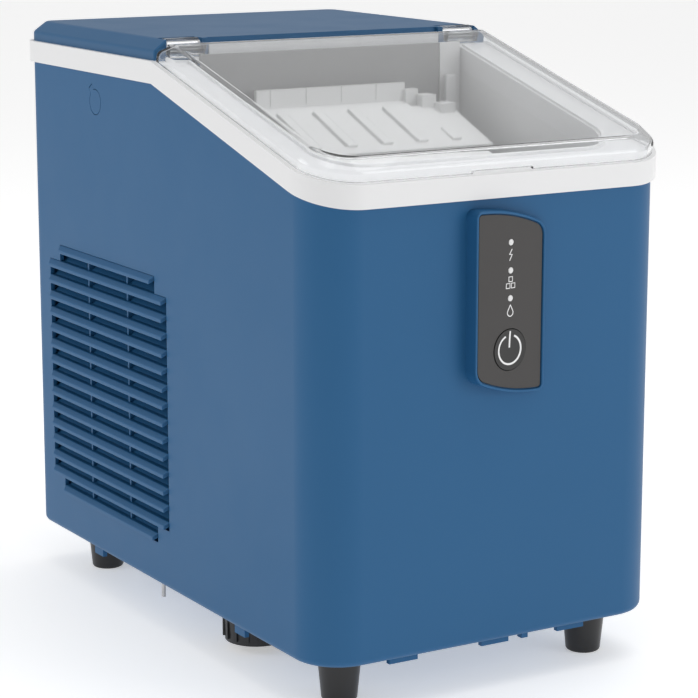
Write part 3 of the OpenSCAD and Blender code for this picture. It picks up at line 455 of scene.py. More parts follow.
@dataclass
class Surface:
    """Points and faces gathered for one piece.

    Attributes:
        points: the arrays of points so far.
        faces: the faces so far, as lists of point numbers.
        count: how many points there are.
    """

    points: list[Array] = field(default_factory=list)
    faces: list[list[int]] = field(default_factory=list)
    count: int = 0

    def add(self, points: Array, faces: Iterable[Sequence[int]], turned: bool = False) -> None:
        """Adds points and their faces; turned swaps the winding, as a mirror needs."""
        step = -1 if turned else 1
        self.faces += [[i + self.count for i in list(f)[::step]] for f in faces]
        self.points.append(points)
        self.count += len(points)

    def rings(self, rings: Array, loop: bool = False, matrix: Matrix | None = None,
              turned: bool = False) -> None:
        """Adds a skin over closed rings, each joined to the next point by point.

        Args:
            rings: array of rings, points and three coordinates.
            loop: whether the last ring joins the first; otherwise the two ends are closed flat.
            matrix: moves the points.
            turned: swaps the winding.
        """
        rows, cols = rings.shape[:2]
        grid = np.arange(rows * cols).reshape(rows, cols)
        after = np.roll(grid, -1, axis=0) if loop else grid[1:]
        here = grid if loop else grid[:-1]
        quads = np.stack((here, np.roll(here, -1, 1), np.roll(after, -1, 1), after), -1).reshape(-1, 4)
        faces = quads.tolist()
        if not loop:
            faces += [grid[0, ::-1].tolist(), grid[-1].tolist()]
        points = rings.reshape(-1, 3)
        self.add(points if matrix is None else placed(points, matrix), faces, turned)

    def stack(self, shape: Shape, levels: Sequence[tuple[float, float]],
              matrix: Matrix | None = None) -> None:
        """Adds a skin whose rings are shape(inset) at each height.

        Args:
            shape: gives an outline for an inset.
            levels: (inset, height) of each ring, going up the outside.
            matrix: moves the points.
        """
        self.rings(np.array([lifted(shape(inset), height) for inset, height in levels]), matrix=matrix)

    def slab(self, shape: Shape, low: float, high: float, soft: float, matrix: Matrix) -> None:
        """Adds a plate of one outline between two heights, with its edges rounded by soft."""
        edge = soft_edge(soft)
        levels = [(i, low + z) for i, z in edge] + [(i, high - z) for i, z in reversed(edge)]
        self.stack(shape, levels, matrix)

    def block(self, low: Sequence[float], high: Sequence[float], soft: float) -> None:
        """Adds a box between two corners with all its edges rounded by soft."""
        low, high = np.minimum(low, high), np.maximum(low, high)
        middle, half = (low + high) / 2, (high - low) / 2
        soft = min(soft, 0.45 * float(half.min()))

        def shape(inset: float) -> Array:
            """The box's plan, moved in by inset."""
            return rounded_outline(half[0] - inset, -half[1] + inset, half[1] - inset,
                                   soft * 1.01 - inset, soft * 1.01 - inset, count=4)

        self.slab(shape, -half[2], half[2], soft, Matrix.Translation(Vector(middle)))

    def turned_profile(self, profile: Sequence[tuple[float, float]], matrix: Matrix, count: int = 48) -> None:
        """Adds a turned piece: each (radius, height) of the profile carried round the axis.

        Args:
            profile: radius and height, going up the outside and down the bore.
            matrix: places the axis.
            count: points round.
        """
        rings = [lifted(circle_outline(max(r, AXIS_GAP), count), z) for r, z in profile]
        self.rings(np.array(rings), matrix=matrix)

    def bored_profile(self, profile: Sequence[tuple[float, float]], matrix: Matrix, count: int = 48) -> None:
        """Adds a turned ring: the profile is a closed loop that never meets the axis."""
        rings = [lifted(circle_outline(r, count), z) for r, z in profile]
        self.rings(np.array(rings), loop=True, matrix=matrix)

    def moved(self, matrix: Matrix) -> "Surface":
        """Moves every point so far by a matrix and returns the surface."""
        self.points = [placed(p, matrix) for p in self.points]
        return self

    def mesh(self, name: str) -> bpy.types.Mesh:
        """Makes a mesh of the points and faces so far.

        Args:
            name: the mesh's name.

        Returns:
            The mesh.
        """
        mesh = bpy.data.meshes.new(name)
        mesh.from_pydata(np.vstack(self.points).tolist(), [], self.faces)
        mesh.validate()
        return mesh

    def piece(self, name: str, finish: AnyFinish, body: str, replaces: Sequence[str] = ()) -> bpy.types.Object:
        """Makes the object, dresses it and lets it ride on its body.

        Args:
            name: the piece's name.
            finish: its finish.
            body: the body that it moves with.
            replaces: the frame's nodes that it stands for.

        Returns:
            The new object.
        """
        return show(self.mesh(name), name, finish, body, replaces)


def linked(name: str, data: bpy.types.ID) -> bpy.types.Object:
    """Makes an object of a mesh, lamp or camera and puts it in the scene."""
    item = bpy.data.objects.new(name, data)
    bpy.context.scene.collection.objects.link(item)
    return item


def finished(item: bpy.types.Object) -> bpy.types.Mesh:
    """The mesh that an object's modifiers leave."""
    bpy.context.view_layer.update()
    return bpy.data.meshes.new_from_object(item.evaluated_get(bpy.context.evaluated_depsgraph_get()))


def box_of(low: Sequence[float], high: Sequence[float], soft: float) -> Surface:
    """A closed box between two corners, with its edges rounded by soft."""
    surface = Surface()
    surface.block(low, high, soft)
    return surface


def show(mesh: bpy.types.Mesh, name: str, finish: AnyFinish, body: str,
         replaces: Sequence[str] = ()) -> bpy.types.Object:
    """Puts a mesh in the scene with its finish, shading and body.

    Args:
        mesh: the mesh, with its place in its points.
        name: the piece's name.
        finish: its finish.
        body: the body that it moves with.
        replaces: the frame's nodes that it stands for.

    Returns:
        The object.
    """
    mark_edges(mesh)
    piece = linked(name, mesh)
    piece.data.materials.clear()
    piece.data.materials.append(material_of(finish))
    level = piece.modifiers.new("even_normals", "WEIGHTED_NORMAL")
    level.keep_sharp = True
    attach(piece, body)
    if replaces:
        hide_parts(*replaces)
    LOG.info("%s: %d faces, rides on %s, finish %s", name, len(mesh.polygons), body, finish.name)
    return piece


def mark_edges(mesh: bpy.types.Mesh, angle: float = CRISP_ANGLE) -> None:
    """Smooths a mesh and keeps edges sharper than angle degrees crisp."""
    work = bmesh.new()
    work.from_mesh(mesh)
    limit = math.radians(angle)
    for face in work.faces:
        face.smooth = True
    for edge in work.edges:
        edge.smooth = len(edge.link_faces) == 2 and edge.calc_face_angle(0.0) < limit
    work.to_mesh(mesh)
    work.free()


def carve(mesh: bpy.types.Mesh, cutters: Sequence[Surface]) -> bpy.types.Mesh:
    """Cuts each closed surface out of a mesh.

    Args:
        mesh: the mesh to cut.
        cutters: the surfaces to take away.

    Returns:
        The cut mesh.
    """
    body = linked("carved", mesh)
    tools = []
    for surface in cutters:
        tool = linked("cutter", surface.mesh("cutter"))
        cut = body.modifiers.new("cut", "BOOLEAN")
        cut.operation, cut.solver, cut.object = "DIFFERENCE", "EXACT", tool
        tools.append(tool)
    result = finished(body)
    for item in [body, *tools]:
        bpy.data.objects.remove(item)
    return result


def softened(node: str, name: str, finish: AnyFinish, edge: float = 0.3 * MM,
             cuts: Sequence[Surface] = ()) -> bpy.types.Object:
    """A finer copy of a frame node: points merged, flat faces joined and edges rounded.

    Args:
        node: the frame's node.
        name: the new piece's name.
        finish: its finish.
        edge: width of the rounded edges.
        cuts: shapes to take away first.

    Returns:
        The piece, which stands for the node.
    """
    mesh = frame["nodes"][node].data.copy()
    work = bmesh.new()
    work.from_mesh(mesh)
    bmesh.ops.remove_doubles(work, verts=work.verts, dist=WELD)
    bmesh.ops.dissolve_limit(work, angle_limit=math.radians(FLAT_ANGLE), verts=work.verts, edges=work.edges)
    work.to_mesh(mesh)
    work.free()
    if cuts:
        mesh = carve(mesh, cuts)
    temp = linked("temp", mesh)
    bevel = temp.modifiers.new("bevel", "BEVEL")
    bevel.width, bevel.segments = edge, 2
    bevel.limit_method, bevel.angle_limit = "ANGLE", math.radians(BEVEL_ANGLE)
    mesh = finished(temp)
    bpy.data.objects.remove(temp)
    body = frame["nodes"][node]["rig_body"]
    return show(mesh, name, finish, body, (node,))


# ---------------------------------------------------------------- casing


def eased(points: Sequence[tuple[float, float]], radius: float, steps: int = 4) -> list[tuple[float, float]]:
    """Rounds the inner corners of a profile with parabolas that start radius before each corner.

    Args:
        points: the profile's corners.
        radius: how far from a corner the rounding starts.
        steps: points on each rounding.

    Returns:
        The rounded profile.
    """
    corners = [np.array(p, float) for p in points]
    result = [tuple(corners[0])]
    for before, corner, after in zip(corners, corners[1:], corners[2:]):
        back, ahead = before - corner, after - corner
        reach = min(radius, 0.45 * np.linalg.norm(back), 0.45 * np.linalg.norm(ahead))
        start = corner + back / np.linalg.norm(back) * reach
        end = corner + ahead / np.linalg.norm(ahead) * reach
        for t in np.linspace(0, 1, steps):
            result.append(tuple((1 - t) ** 2 * start + 2 * t * (1 - t) * corner + t * t * end))
    result.append(tuple(corners[-1]))
    return result


KINK_POINTS = np.array([-9, -6, -4, -2.5, -1.2, 0, 1.2, 2.5, 4, 6, 9]) * MM
SIDE_POINTS = np.array([-110, -80, -50, 50, 100]) * MM


@dataclass
class Casing:
    """Moulded shell, trim, deck, grilles and what closes the back.

    Attributes:
        wall: thickness of the moulded walls.
        front_radius: radius of the shell's two front corners.
        rear_radius: radius of its two rear corners.
        kink: y where the slope starts.
        slope: fall of the slope, in degrees.
        under: radius of the shell's lower edge.
        lip: how far the shell's lower edge turns in.
        trim_height: height of the trim band.
        trim_over: how far the trim stands out.
        ease: length over which the kink is rounded.
        plug_flange: radius of the service plug's inner flange.
        plug_radius: radius of the plug's hole.
        window: half sizes of the opening behind the control panel.
        back_gap: gap round the back cover, and how far its opening is cut in and out.
        ledge: how far the ledge for the back cover stands out past its edge, and in under it.
        ledge_deep: thickness of that ledge.
        lip_thick: thickness of the turned-in lower edge.
    """

    wall: float = 2.4 * MM
    front_radius: float = 25.5 * MM
    rear_radius: float = 13.5 * MM
    kink: float = 2.3 * MM
    slope: float = 15.1
    under: float = 4 * MM
    lip: float = 6.5 * MM
    trim_height: float = 12 * MM
    trim_over: float = 2.5 * MM
    ease: float = 5 * MM
    plug_flange: float = 9 * MM
    plug_radius: float = 7.3 * MM
    window: tuple[float, float, float] = (14 * MM, 10 * MM, 36 * MM)
    back_gap: tuple[float, float, float] = (0.4 * MM, 3 * MM, 0.4 * MM)
    ledge: tuple[float, float] = (4.4 * MM, 5.6 * MM)
    ledge_deep: float = 2 * MM
    lip_thick: float = 1.4 * MM

    def __post_init__(self) -> None:
        """Reads the shell's size from the frame."""
        low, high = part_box("outer_shell")
        self.half, self.back, self.lift = high.x, high.y, low.z
        self.trim_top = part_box("top_deck")[0].z

    def plan(self, inset: float) -> Array:
        """The shell's outline in plan, moved in by inset, with points near the kink."""
        return rounded_outline(self.half - inset, -self.back + inset, self.back - inset,
                               self.front_radius - inset, self.rear_radius - inset,
                               np.concatenate((SIDE_POINTS, KINK_POINTS + self.kink)))

    def line(self, y: Array) -> Array:
        """Height of the trim's lower edge: level behind the kink and falling before it."""
        run = self.kink - y
        eased_run = 0.5 * (run + np.sqrt(run * run + self.ease * self.ease * 0.2))
        return self.trim_top - self.trim_height - eased_run * math.tan(math.radians(self.slope))

    def sloped(self) -> Matrix:
        """The matrix of the slope: x across, y up the slope from the kink, z square to it."""
        return (Matrix.Translation((0, self.kink, self.trim_top))
                @ Matrix.Rotation(math.radians(self.slope), 4, "X"))

    def shell(self) -> None:
        """Builds the shell: outer wall, turned-in lower lip and inner wall in one loop of rings."""
        lip_top = self.lift + self.lip_thick
        rings = [lifted(self.plan(inset), self.lift + rise) for inset, rise in soft_edge(self.under, 6)]
        for inset in (0.0, self.wall):
            flat = self.plan(inset)
            rings.append(lifted(flat, self.line(flat[:, 1])))
        rings += [lifted(self.plan(inset), height) for inset, height in (
            (self.wall, self.lift + 3 * MM), (self.wall + MM, lip_top), (self.lip, lip_top), (self.lip, self.lift))]
        skin = Surface()
        skin.rings(np.array(rings), loop=True)
        show(carve(skin.mesh("shell"), self.openings()), "moulded_shell", BLUE, "root", ("outer_shell",))
        self.back_ledge()

    def back_ledge(self) -> None:
        """Builds the ledge that the back cover sits in: four bars round the opening, inside the wall."""
        low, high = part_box("rear_panel")
        out, under = self.ledge
        face, meet = self.back - self.wall, 0.1 * MM
        left, right, bottom, top = low.x - out, high.x + out, low.z - out, high.z + out
        bars = Surface()
        for x0, z0, x1, z1 in (
                (left, bottom, right, low.z + under), (left, high.z - under, right, top),
                (left, low.z + under - meet, low.x + under, high.z - under + meet),
                (high.x - under, low.z + under - meet, right, high.z - under + meet)):
            bars.block((x0, face - self.ledge_deep, z0), (x1, face + 0.01 * MM, z1), 0.3 * MM)
        bars.piece("back_ledge", BLUE, "root")

    def openings(self) -> list[Surface]:
        """The shell's openings: two vents, the panel's window, the plug's hole and the back."""
        cuts = []
        for side in (-1, 1):
            vent = Grille(side)
            inner, outer = side * (self.half - 5 * MM), side * (self.half + 4 * MM)
            cuts += [box_of((inner, vent.start + inset, bottom), (outer, vent.end - inset, top), 0.2 * MM)
                     for inset, top, bottom in vent.windows()]
        middle = sum(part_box("panel_overlay"), Vector()) / 2
        reach, gap = Vector(self.window), Vector(self.back_gap)
        low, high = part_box("rear_panel")
        cuts += [box_of(middle - reach, middle + reach, 0.2 * MM), box_of(low - gap, high + gap, 0.2 * MM)]
        return [*cuts, self.plug_hole()]

    def plug_hole(self) -> Surface:
        """The keyhole that the service plug fills: an arc closed by a neck that leans to the rear."""
        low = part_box("service_plug")[0]
        middle = low + Vector((0, self.plug_flange, self.plug_flange))
        return keyhole(Vector((-self.half, middle.y, middle.z)), self.plug_radius, -3 * MM, 6 * MM)


@dataclass(frozen=True)
class Rim:
    """The moulded edge that the deck and the lid share: upright band, slanted border and flat top.

    Attributes:
        rise: height of the flat top.
        band: height of the upright band.
        border: width of the slanted border.
        flat: how much of the flat top the edge takes with it.
        ease: length over which its corners are rounded.
    """

    rise: float = 11 * MM
    band: float = 5.2 * MM
    border: float = 7.5 * MM
    flat: float = 9 * MM
    ease: float = 1.3 * MM

    def skins(self, wall: float, foot: float = 0.0) -> tuple[list, list]:
        """The edge's inner and outer profiles, as insets and heights, both going up.

        Args:
            wall: thickness of the moulding.
            foot: height that both begin at.

        Returns:
            The inner profile and the outer one.
        """
        end = self.border + self.flat
        outer = [(0, foot), (0, self.band), (self.border, self.rise), (end, self.rise)]
        inner = [(wall, foot), (wall, self.band - 0.8 * MM), (self.border + 1.2 * MM, self.rise - wall),
                 (end, self.rise - wall)]
        return eased(inner, self.ease, 5), eased(outer, self.ease, 5)


@dataclass
class Deck:
    """The raised rear deck: one moulding with a slanted border, and pockets for the lid's ears.

    Attributes:
        casing: the casing that it stands on.
        rim: its moulded edge.
        wall: thickness.
        front: gap to the kink line.
        inner_front: how far the inner skin stays behind the front edge.
        corner: radius of the two front corners.
        notch: how deep the notch for the trim's upstand is.
        upstand: half width of the trim's upstand, with its gap.
        ear: inner and outer x of the lid's ears.
        pocket_rear: y of the rear wall of the ears' pockets.
        pocket_wall: thickness of the pockets' side walls.
        pocket_rear_wall: thickness of their rear walls.
    """

    casing: Casing
    rim: Rim = Rim()
    wall: float = 2.4 * MM
    front: float = 0.5 * MM
    inner_front: float = 5.3 * MM
    corner: float = 1.2 * MM
    notch: float = 2.4 * MM
    upstand: float = 73.4 * MM
    ear: tuple[float, float] = (76.5 * MM, 98 * MM)
    pocket_rear: float = 13.6 * MM
    pocket_wall: float = 2.2 * MM
    pocket_rear_wall: float = 2 * MM

    def build(self) -> None:
        """Builds the deck as one loop of rings, cuts its notches and sets pockets in them."""
        case, rise = self.casing, self.rim.rise
        start, base = case.kink + self.front, case.trim_top
        inside, outside = self.rim.skins(self.wall)
        rings = []
        for profile, ahead in ((inside[::-1], self.inner_front), (outside, 0.0)):
            for inset, height in profile:
                soft = 0.35 * MM if height > rise - 0.05 * MM else 0.0
                plan = rounded_outline(case.half - inset, start + ahead + soft, case.back - inset, self.corner,
                                       case.rear_radius - inset)
                rings.append(lifted(plan, base + height))
        skin = Surface()
        skin.rings(np.array(rings))
        low, high = base - MM, base + rise + MM
        cuts = [box_of((-self.upstand, case.kink - MM, low), (self.upstand, start + self.notch, high), 0.1 * MM)]
        pockets = Surface()
        for side in (-1, 1):
            inner, outer = side * self.ear[0], side * self.ear[1]
            cuts.append(box_of((inner, case.kink - 2 * MM, low), (outer, self.pocket_rear, high), 0.1 * MM))
            self.pocket(pockets, side, inner, outer)
        show(carve(skin.mesh("deck"), cuts), "rear_deck", BLUE_DECK, "root", ("top_deck",))
        pockets.piece("ear_pockets", BLUE_DECK, "root")

    def pocket(self, pockets: Surface, side: int, inner: float, outer: float) -> None:
        """Adds one ear's pocket: two side walls, a rear wall and a thin floor.

        Args:
            pockets: what it is added to.
            side: -1 on the left, 1 on the right.
            inner: x of its inner side.
            outer: x of its outer side.
        """
        start, base = self.casing.kink + self.front, self.casing.trim_top
        rear, top = self.pocket_rear, base + self.rim.band + 3 * MM
        back = rear + self.pocket_rear_wall
        boxes = [((edge, start + MM, base), (edge + side * thick, back, top))
                 for edge, thick in ((inner, -self.pocket_wall), (outer, self.pocket_wall))]
        boxes += [((inner, rear, base), (outer, back, top)),
                  ((inner - side * MM, start, base), (outer + side * MM, rear + MM, base + 0.7 * MM))]
        for corner, other in boxes:
            pockets.block(corner, other, 0.2 * MM)


PLUG_LEAN = 35.0


def keyhole(middle: Vector, radius: float, low: float, high: float) -> Surface:
    """A closed plug shape square to X: a circle and a neck that leans back from its top.

    Args:
        middle: the circle's middle on the face.
        radius: its radius.
        low: x of one end, from the middle.
        high: x of the other end.

    Returns:
        The surface.
    """
    lean, neck = math.radians(PLUG_LEAN), radius / 3.2
    spread = math.degrees(math.asin(neck / radius))
    round_part = arc((0, 0), radius, 90 + spread, 450 - spread, 44)
    top = np.array([(neck, radius * 1.45), (-neck, radius * 1.45)])
    flat = np.vstack((round_part, top))
    turn = np.array([[math.cos(lean), math.sin(lean)], [-math.sin(lean), math.cos(lean)]])
    flat = flat @ turn.T
    rings = [np.column_stack((np.full(len(flat), middle.x + x), middle.y + flat[:, 0], middle.z + flat[:, 1]))
             for x in (low, high)]
    skin = Surface()
    skin.rings(np.array(rings))
    return skin


# one louvre's section in millimetres: outwards from the shell's face, and up from the louvre's edge
LOUVRE = ((-2.8, 0), (0, 0), (2.2, -2.4), (2.2, -4.6), (0, -2.6), (-2.8, -2.2), (-7, 1.4), (-7, 3.8), (-2.8, 0))


@dataclass
class Grille:
    """One side's louvred vent.

    Attributes:
        side: -1 on the left, 1 on the right.
        count: number of full louvres.
        pitch: step from louvre to louvre.
        length: length of a full louvre.
        inset: how much shorter the first and last are, at each end.
        top: height of the highest full louvre.
        middle: y of the vent's middle.
        deep: how far the blades reach in.
    """

    side: int
    count: int = 14
    pitch: float = 9.6 * MM
    length: float = 150 * MM
    inset: float = 14 * MM
    top: float = 189.5 * MM
    middle: float = 68 * MM
    deep: float = 7 * MM

    def __post_init__(self) -> None:
        """Works out the vent's ends and the shell's face."""
        self.start, self.end = self.middle - self.length / 2, self.middle + self.length / 2
        self.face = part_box("outer_shell")[1].x
        self.low = self.top - (self.count - 1) * self.pitch

    def windows(self) -> list[tuple[float, float, float]]:
        """Inset, top and bottom of the two boxes that make the vent's stepped opening."""
        gap = 0.2 * MM
        return [(-gap, self.top + gap, self.low - 5 * MM - gap),
                (self.inset - gap, self.top + self.pitch + gap, self.low - 5 * MM - self.pitch - gap)]

    def louvre(self, surface: Surface, start: float, end: float, height: float) -> None:
        """Adds one louvre: its section carried along y, with ends cut back where it stands out.

        Args:
            surface: what it is added to.
            start: y of its front end.
            end: y of its rear end.
            height: z of its upper edge at the shell.
        """
        section = np.array(eased([(a * MM, b * MM) for a, b in LOUVRE], 0.45 * MM, 3))[:-1]
        proud = np.maximum(section[:, 0], 0)
        middle = section.mean(axis=0)
        rings = []
        ends = ((0.88, start + proud), (1.0, start + proud + 0.35 * MM), (1.0, end - proud - 0.35 * MM),
                (0.88, end - proud))
        for shrink, along in ends:
            shape = middle + (section - middle) * shrink
            rings.append(np.column_stack((shape[:, 0], along, height + shape[:, 1])))
        table = np.array(rings)
        table[..., 0] = self.side * (table[..., 0] + self.face)
        surface.rings(table, turned=self.side < 0)

    def build(self) -> None:
        """Builds the louvres and the two ribs behind them."""
        skin = Surface()
        for k in range(self.count):
            self.louvre(skin, self.start, self.end, self.top - k * self.pitch)
        for height in (self.top + self.pitch, self.low - self.pitch):
            self.louvre(skin, self.start + self.inset, self.end - self.inset, height)
        face = self.face
        for k in (1, 2):
            y = self.start + k * self.length / 3
            skin.block((self.side * (face - self.deep), y - 0.8 * MM, self.low - 4 * MM - self.pitch),
                       (self.side * (face - 1.2 * MM), y + 0.8 * MM, self.top + self.pitch), 0.2 * MM)
        hand = "left" if self.side < 0 else "right"
        skin.piece(f"louvres_{hand}", BLUE, "root", (f"side_grille_{hand}",))


# ---------------------------------------------------------------- lid and control panel


@dataclass
class Lid:
    """The clear lid: one thin moulding with an upright band, a slanted border and a flat top.

    Attributes:
        casing: the casing that it closes.
        rim: its moulded edge, with heights square to the slope.
        thick: thickness of the moulding.
        foot: gap under its edge.
        side_gap: how far its sides stay inside the shell's.
        front_gap: how far its front edge stays behind the trim's.
        hinge_corner: radius of the two corners at the hinge.
        grip: half width of the finger notch.
        ear: inner and outer x of the hinge ears.
        ear_radius: radius of an ear.
        ear_soft: rounding of an ear's ends.
        pin: bore radius of an ear.
        web: y and z of a web's two corners, in the slope's own axes.
    """

    casing: Casing
    rim: Rim = Rim()
    thick: float = 2.2 * MM
    foot: float = 0.25 * MM
    side_gap: float = 0.1 * MM
    front_gap: float = 2 * MM
    hinge_corner: float = 1.6 * MM
    grip: float = 18 * MM
    ear: tuple[float, float] = (77 * MM, 97.5 * MM)
    ear_radius: float = 4.6 * MM
    ear_soft: float = 0.4 * MM
    pin: float = 2.05 * MM
    web: tuple[float, float, float, float] = (-2.8 * MM, 1.3 * MM, 2.6 * MM, 8.0 * MM)

    def build(self) -> None:
        """Builds the moulding with its finger notch and two ears."""
        case = self.casing
        half = case.half - self.side_gap
        length = (case.kink + case.back + case.trim_over) / math.cos(math.radians(case.slope)) - self.front_gap
        place = case.sloped()

        def shape(inset: float) -> Array:
            """The lid's outline, moved in by inset."""
            return rounded_outline(half - inset, -length + inset, -0.5 * MM - inset * 0.6,
                                   case.front_radius - inset, self.hinge_corner, count=20)

        inside, outside = self.rim.skins(self.thick, self.foot)
        skin = Surface()
        skin.stack(shape, inside[::-1] + outside, place)
        notch = box_of((-self.grip, -length - 3 * MM, -3 * MM), (self.grip, -length + 4 * MM, 1.6 * MM), 0.3 * MM)
        show(carve(skin.mesh("lid"), [notch.moved(place)]), "clear_lid_moulding", CLEAR, "lid", ("lid",))
        self.ears()

    def ears(self) -> None:
        """Builds the two hinge ears: a bored barrel on a short web."""
        _, y, z = next(j for j in frame["joints"] if j["name"] == "lid_hinge")["pos_m"]
        inner, outer = self.ear
        wide, soft, radius = outer - inner, self.ear_soft, self.ear_radius
        barrel = [(radius - soft, 0), (radius, soft), (radius, wide - soft), (radius - soft, wide),
                  (self.pin, wide), (self.pin, 0)]
        along = Matrix.Rotation(math.radians(90), 4, "Y")
        y0, z0, y1, z1 = self.web
        for side, hand in ((-1, "left"), (1, "right")):
            start = min(side * inner, side * outer)
            ears = Surface()
            ears.bored_profile(barrel, Matrix.Translation((start, y, z)) @ along, 40)
            web = box_of((side * inner, y0, z0), (side * outer, y1, z1), 0.5 * MM).moved(self.casing.sloped())
            ears.add(web.points[0], web.faces)
            ears.piece(f"lid_ear_{hand}", CLEAR, "lid")


@dataclass
class ControlPanel:
    """The wedge-shaped plinth with its dark film, marks, indicators and button.

    Attributes:
        half: half width of the dark film.
        tall: half height of the dark film.
        proud: how far the left and right edges stand out of the shell.
        depth: depth of the film's pocket.
        button_radius: radius of the power button.
        button_height: the button's height from the panel's middle.
        lamp_heights: the indicators' heights from the panel's middle.
        lamp_radius: radius of an indicator.
        dish: radius of the button's dished face.
        film_thick: thickness of the film.
        rim: width of the plinth's face outside the film.
        corners: radii of a long edge, a sharp corner and a round corner.
        symbol_drop: from an indicator down to its mark.
        symbol_scale: size of the marks, which are drawn about 4 units high.
        ring_radius: radius of the power mark's ring.
    """

    half: float = 21.5 * MM
    tall: float = 46 * MM
    proud: tuple[float, float] = (9 * MM, 2.6 * MM)
    depth: float = 1.6 * MM
    button_radius: float = 10.5 * MM
    button_height: float = -24 * MM
    lamp_heights: tuple[float, float, float] = (30.5 * MM, 16.3 * MM, 2.2 * MM)
    lamp_radius: float = 1.6 * MM
    dish: float = 80 * MM
    film_thick: float = 0.9 * MM
    rim: float = 3 * MM
    corners: tuple[float, float, float] = (98 * MM, 2 * MM, 7 * MM)
    symbol_drop: float = 6.4 * MM
    symbol_scale: float = 1.5 * MM
    ring_radius: float = 7.4 * MM

    def __post_init__(self) -> None:
        """Works out how the face is turned."""
        self.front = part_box("outer_shell")[0].y
        self.across, _, self.middle = sum(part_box("panel_overlay"), Vector()) / 2
        yaw = math.asin((self.proud[0] - self.proud[1]) / (2 * (self.half + self.rim)))
        # profile height runs out of the face: x across, y up, z outwards
        self.place = (Matrix.Translation((self.across, self.front - sum(self.proud) / 2, self.middle))
                      @ Matrix.Rotation(yaw, 4, "Z") @ Matrix.Rotation(math.radians(90), 4, "X"))

    def leaf(self, grow: float) -> Array:
        """The panel's outline, moved out by grow: a sharp corner, a long falling arc and a round corner, twice."""
        across, up = self.half + grow, self.tall + grow
        big, small, large = (radius + grow for radius in self.corners)
        height = up - big
        run = 2 * across - small - large
        fall = height + math.sqrt((big - large) ** 2 - run * run)
        angle = math.degrees(math.atan2(fall - height, run))
        corner = arc((-across + small, up - small), small, 180, 90, 6)
        long = arc((-across + small, height), big, 90, angle, 22)
        round_end = arc((across - large, fall), large, angle, 0, 12)
        upper = np.vstack((corner, long[1:], round_end[1:]))
        # the second half is the first turned half round; reversed, it runs anticlockwise from outside
        return np.vstack((upper, -upper))[::-1]

    def bores(self, button: float, lamp: float, low: float, high: float) -> list[Surface]:
        """Round cutters square to the face, for the button and the three indicators.

        Args:
            button: gap round the button.
            lamp: gap round an indicator.
            low: height of the cutters' inner ends.
            high: height of their outer ends.

        Returns:
            The four cutters.
        """
        holes = [(self.button_height, self.button_radius + button, 64)]
        holes += [(height, self.lamp_radius + lamp, 24) for height in self.lamp_heights]
        cuts = []
        for height, radius, count in holes:
            cut = Surface()
            cut.turned_profile([(radius, low), (radius, high)], self.at(height), count)
            cuts.append(cut)
        return cuts

    def at(self, height: float) -> Matrix:
        """The face's matrix at a height from the panel's middle."""
        return self.place @ Matrix.Translation((0, height, 0))

    def plinth(self) -> None:
        """Builds the plinth: a skin from the shell out to the rounded rim, then down into the pocket."""
        rings = []
        for grow, out in ((2.0 * MM, 0.0), (1.95 * MM, 0.4 * MM)):
            flat = self.leaf(grow)
            rings.append(np.column_stack((self.across + flat[:, 0], np.full(len(flat), self.front - out),
                                          self.middle + flat[:, 1])))
        edge = eased([(1.65 * MM, -1.2 * MM), (1.6 * MM, 0.0), (0.3 * MM, 0.0), (0.3 * MM, -self.depth)],
                     0.6 * MM, 5)
        rings += [placed(lifted(self.leaf(grow), height), self.place) for grow, height in edge]
        skin = Surface()
        skin.rings(np.array(rings))
        cuts = self.bores(1.6 * MM, 0.5 * MM, -30 * MM, MM)
        show(carve(skin.mesh("plinth"), cuts), "panel_plinth_moulding", BLUE, "root", ("panel_plinth",))

    def film(self) -> None:
        """Builds the dark film with its holes."""
        skin = Surface()
        skin.slab(lambda inset: self.leaf(-0.3 * MM - inset), -self.depth, self.film_thick - self.depth, 0.2 * MM,
                  self.place)
        cuts = self.bores(0.35 * MM, 0.1 * MM, -5 * MM, 2 * MM)
        show(carve(skin.mesh("film"), cuts), "panel_film", OVERLAY, "root", ("panel_overlay",))

    def lamps(self) -> None:
        """Builds the three domed indicators in one piece."""
        skin = Surface()
        radius, face = self.lamp_radius, self.film_thick - self.depth
        dome = [(radius * math.cos(a), face + 0.45 * MM * math.sin(a)) for a in np.radians(np.linspace(0, 84, 7))]
        for height in self.lamp_heights:
            skin.turned_profile([(radius, -8 * MM), *dome], self.at(height), 28)
        skin.piece("indicator_domes", LENS, "root", ("indicator_lenses",))

    def dished(self, radius: Array) -> Array:
        """Height of the button's face: a shallow sphere, lowest in the middle."""
        rim = math.sqrt(self.dish ** 2 - self.button_radius ** 2)
        return -0.3 * MM + rim - np.sqrt(self.dish ** 2 - radius * radius)

    def button(self) -> None:
        """Builds the button, turned about its own axis, and the white mark on its dished face."""
        skin = Surface()
        radius = self.button_radius
        face = [(r, float(self.dished(np.array(r)))) for r in np.linspace(radius - 0.7 * MM, 0.3 * MM, 12)]
        rim = eased([(radius, -3.6 * MM), (radius, float(self.dished(np.array(radius))) + 0.05 * MM), face[0]],
                    0.6 * MM, 5)
        profile = [(3 * MM, -10.8 * MM), (3 * MM, -3.7 * MM), *rim, *face[1:]]
        place = self.at(self.button_height)
        skin.turned_profile(profile, place, 72)
        skin.piece("power_button_cap", BUTTON, "power_button", ("power_button",))
        mark = Surface()
        ring = arc((0, 0), self.ring_radius, 112, 428, 60)
        stroke = np.column_stack((np.zeros(12), np.linspace(1.0 * MM, 9.5 * MM, 12)))
        for line in (ring, stroke):
            self.ribbon(mark, line, 0.5 * MM, place, dished=True)
        mark.piece("power_mark", MARKS, "power_button")

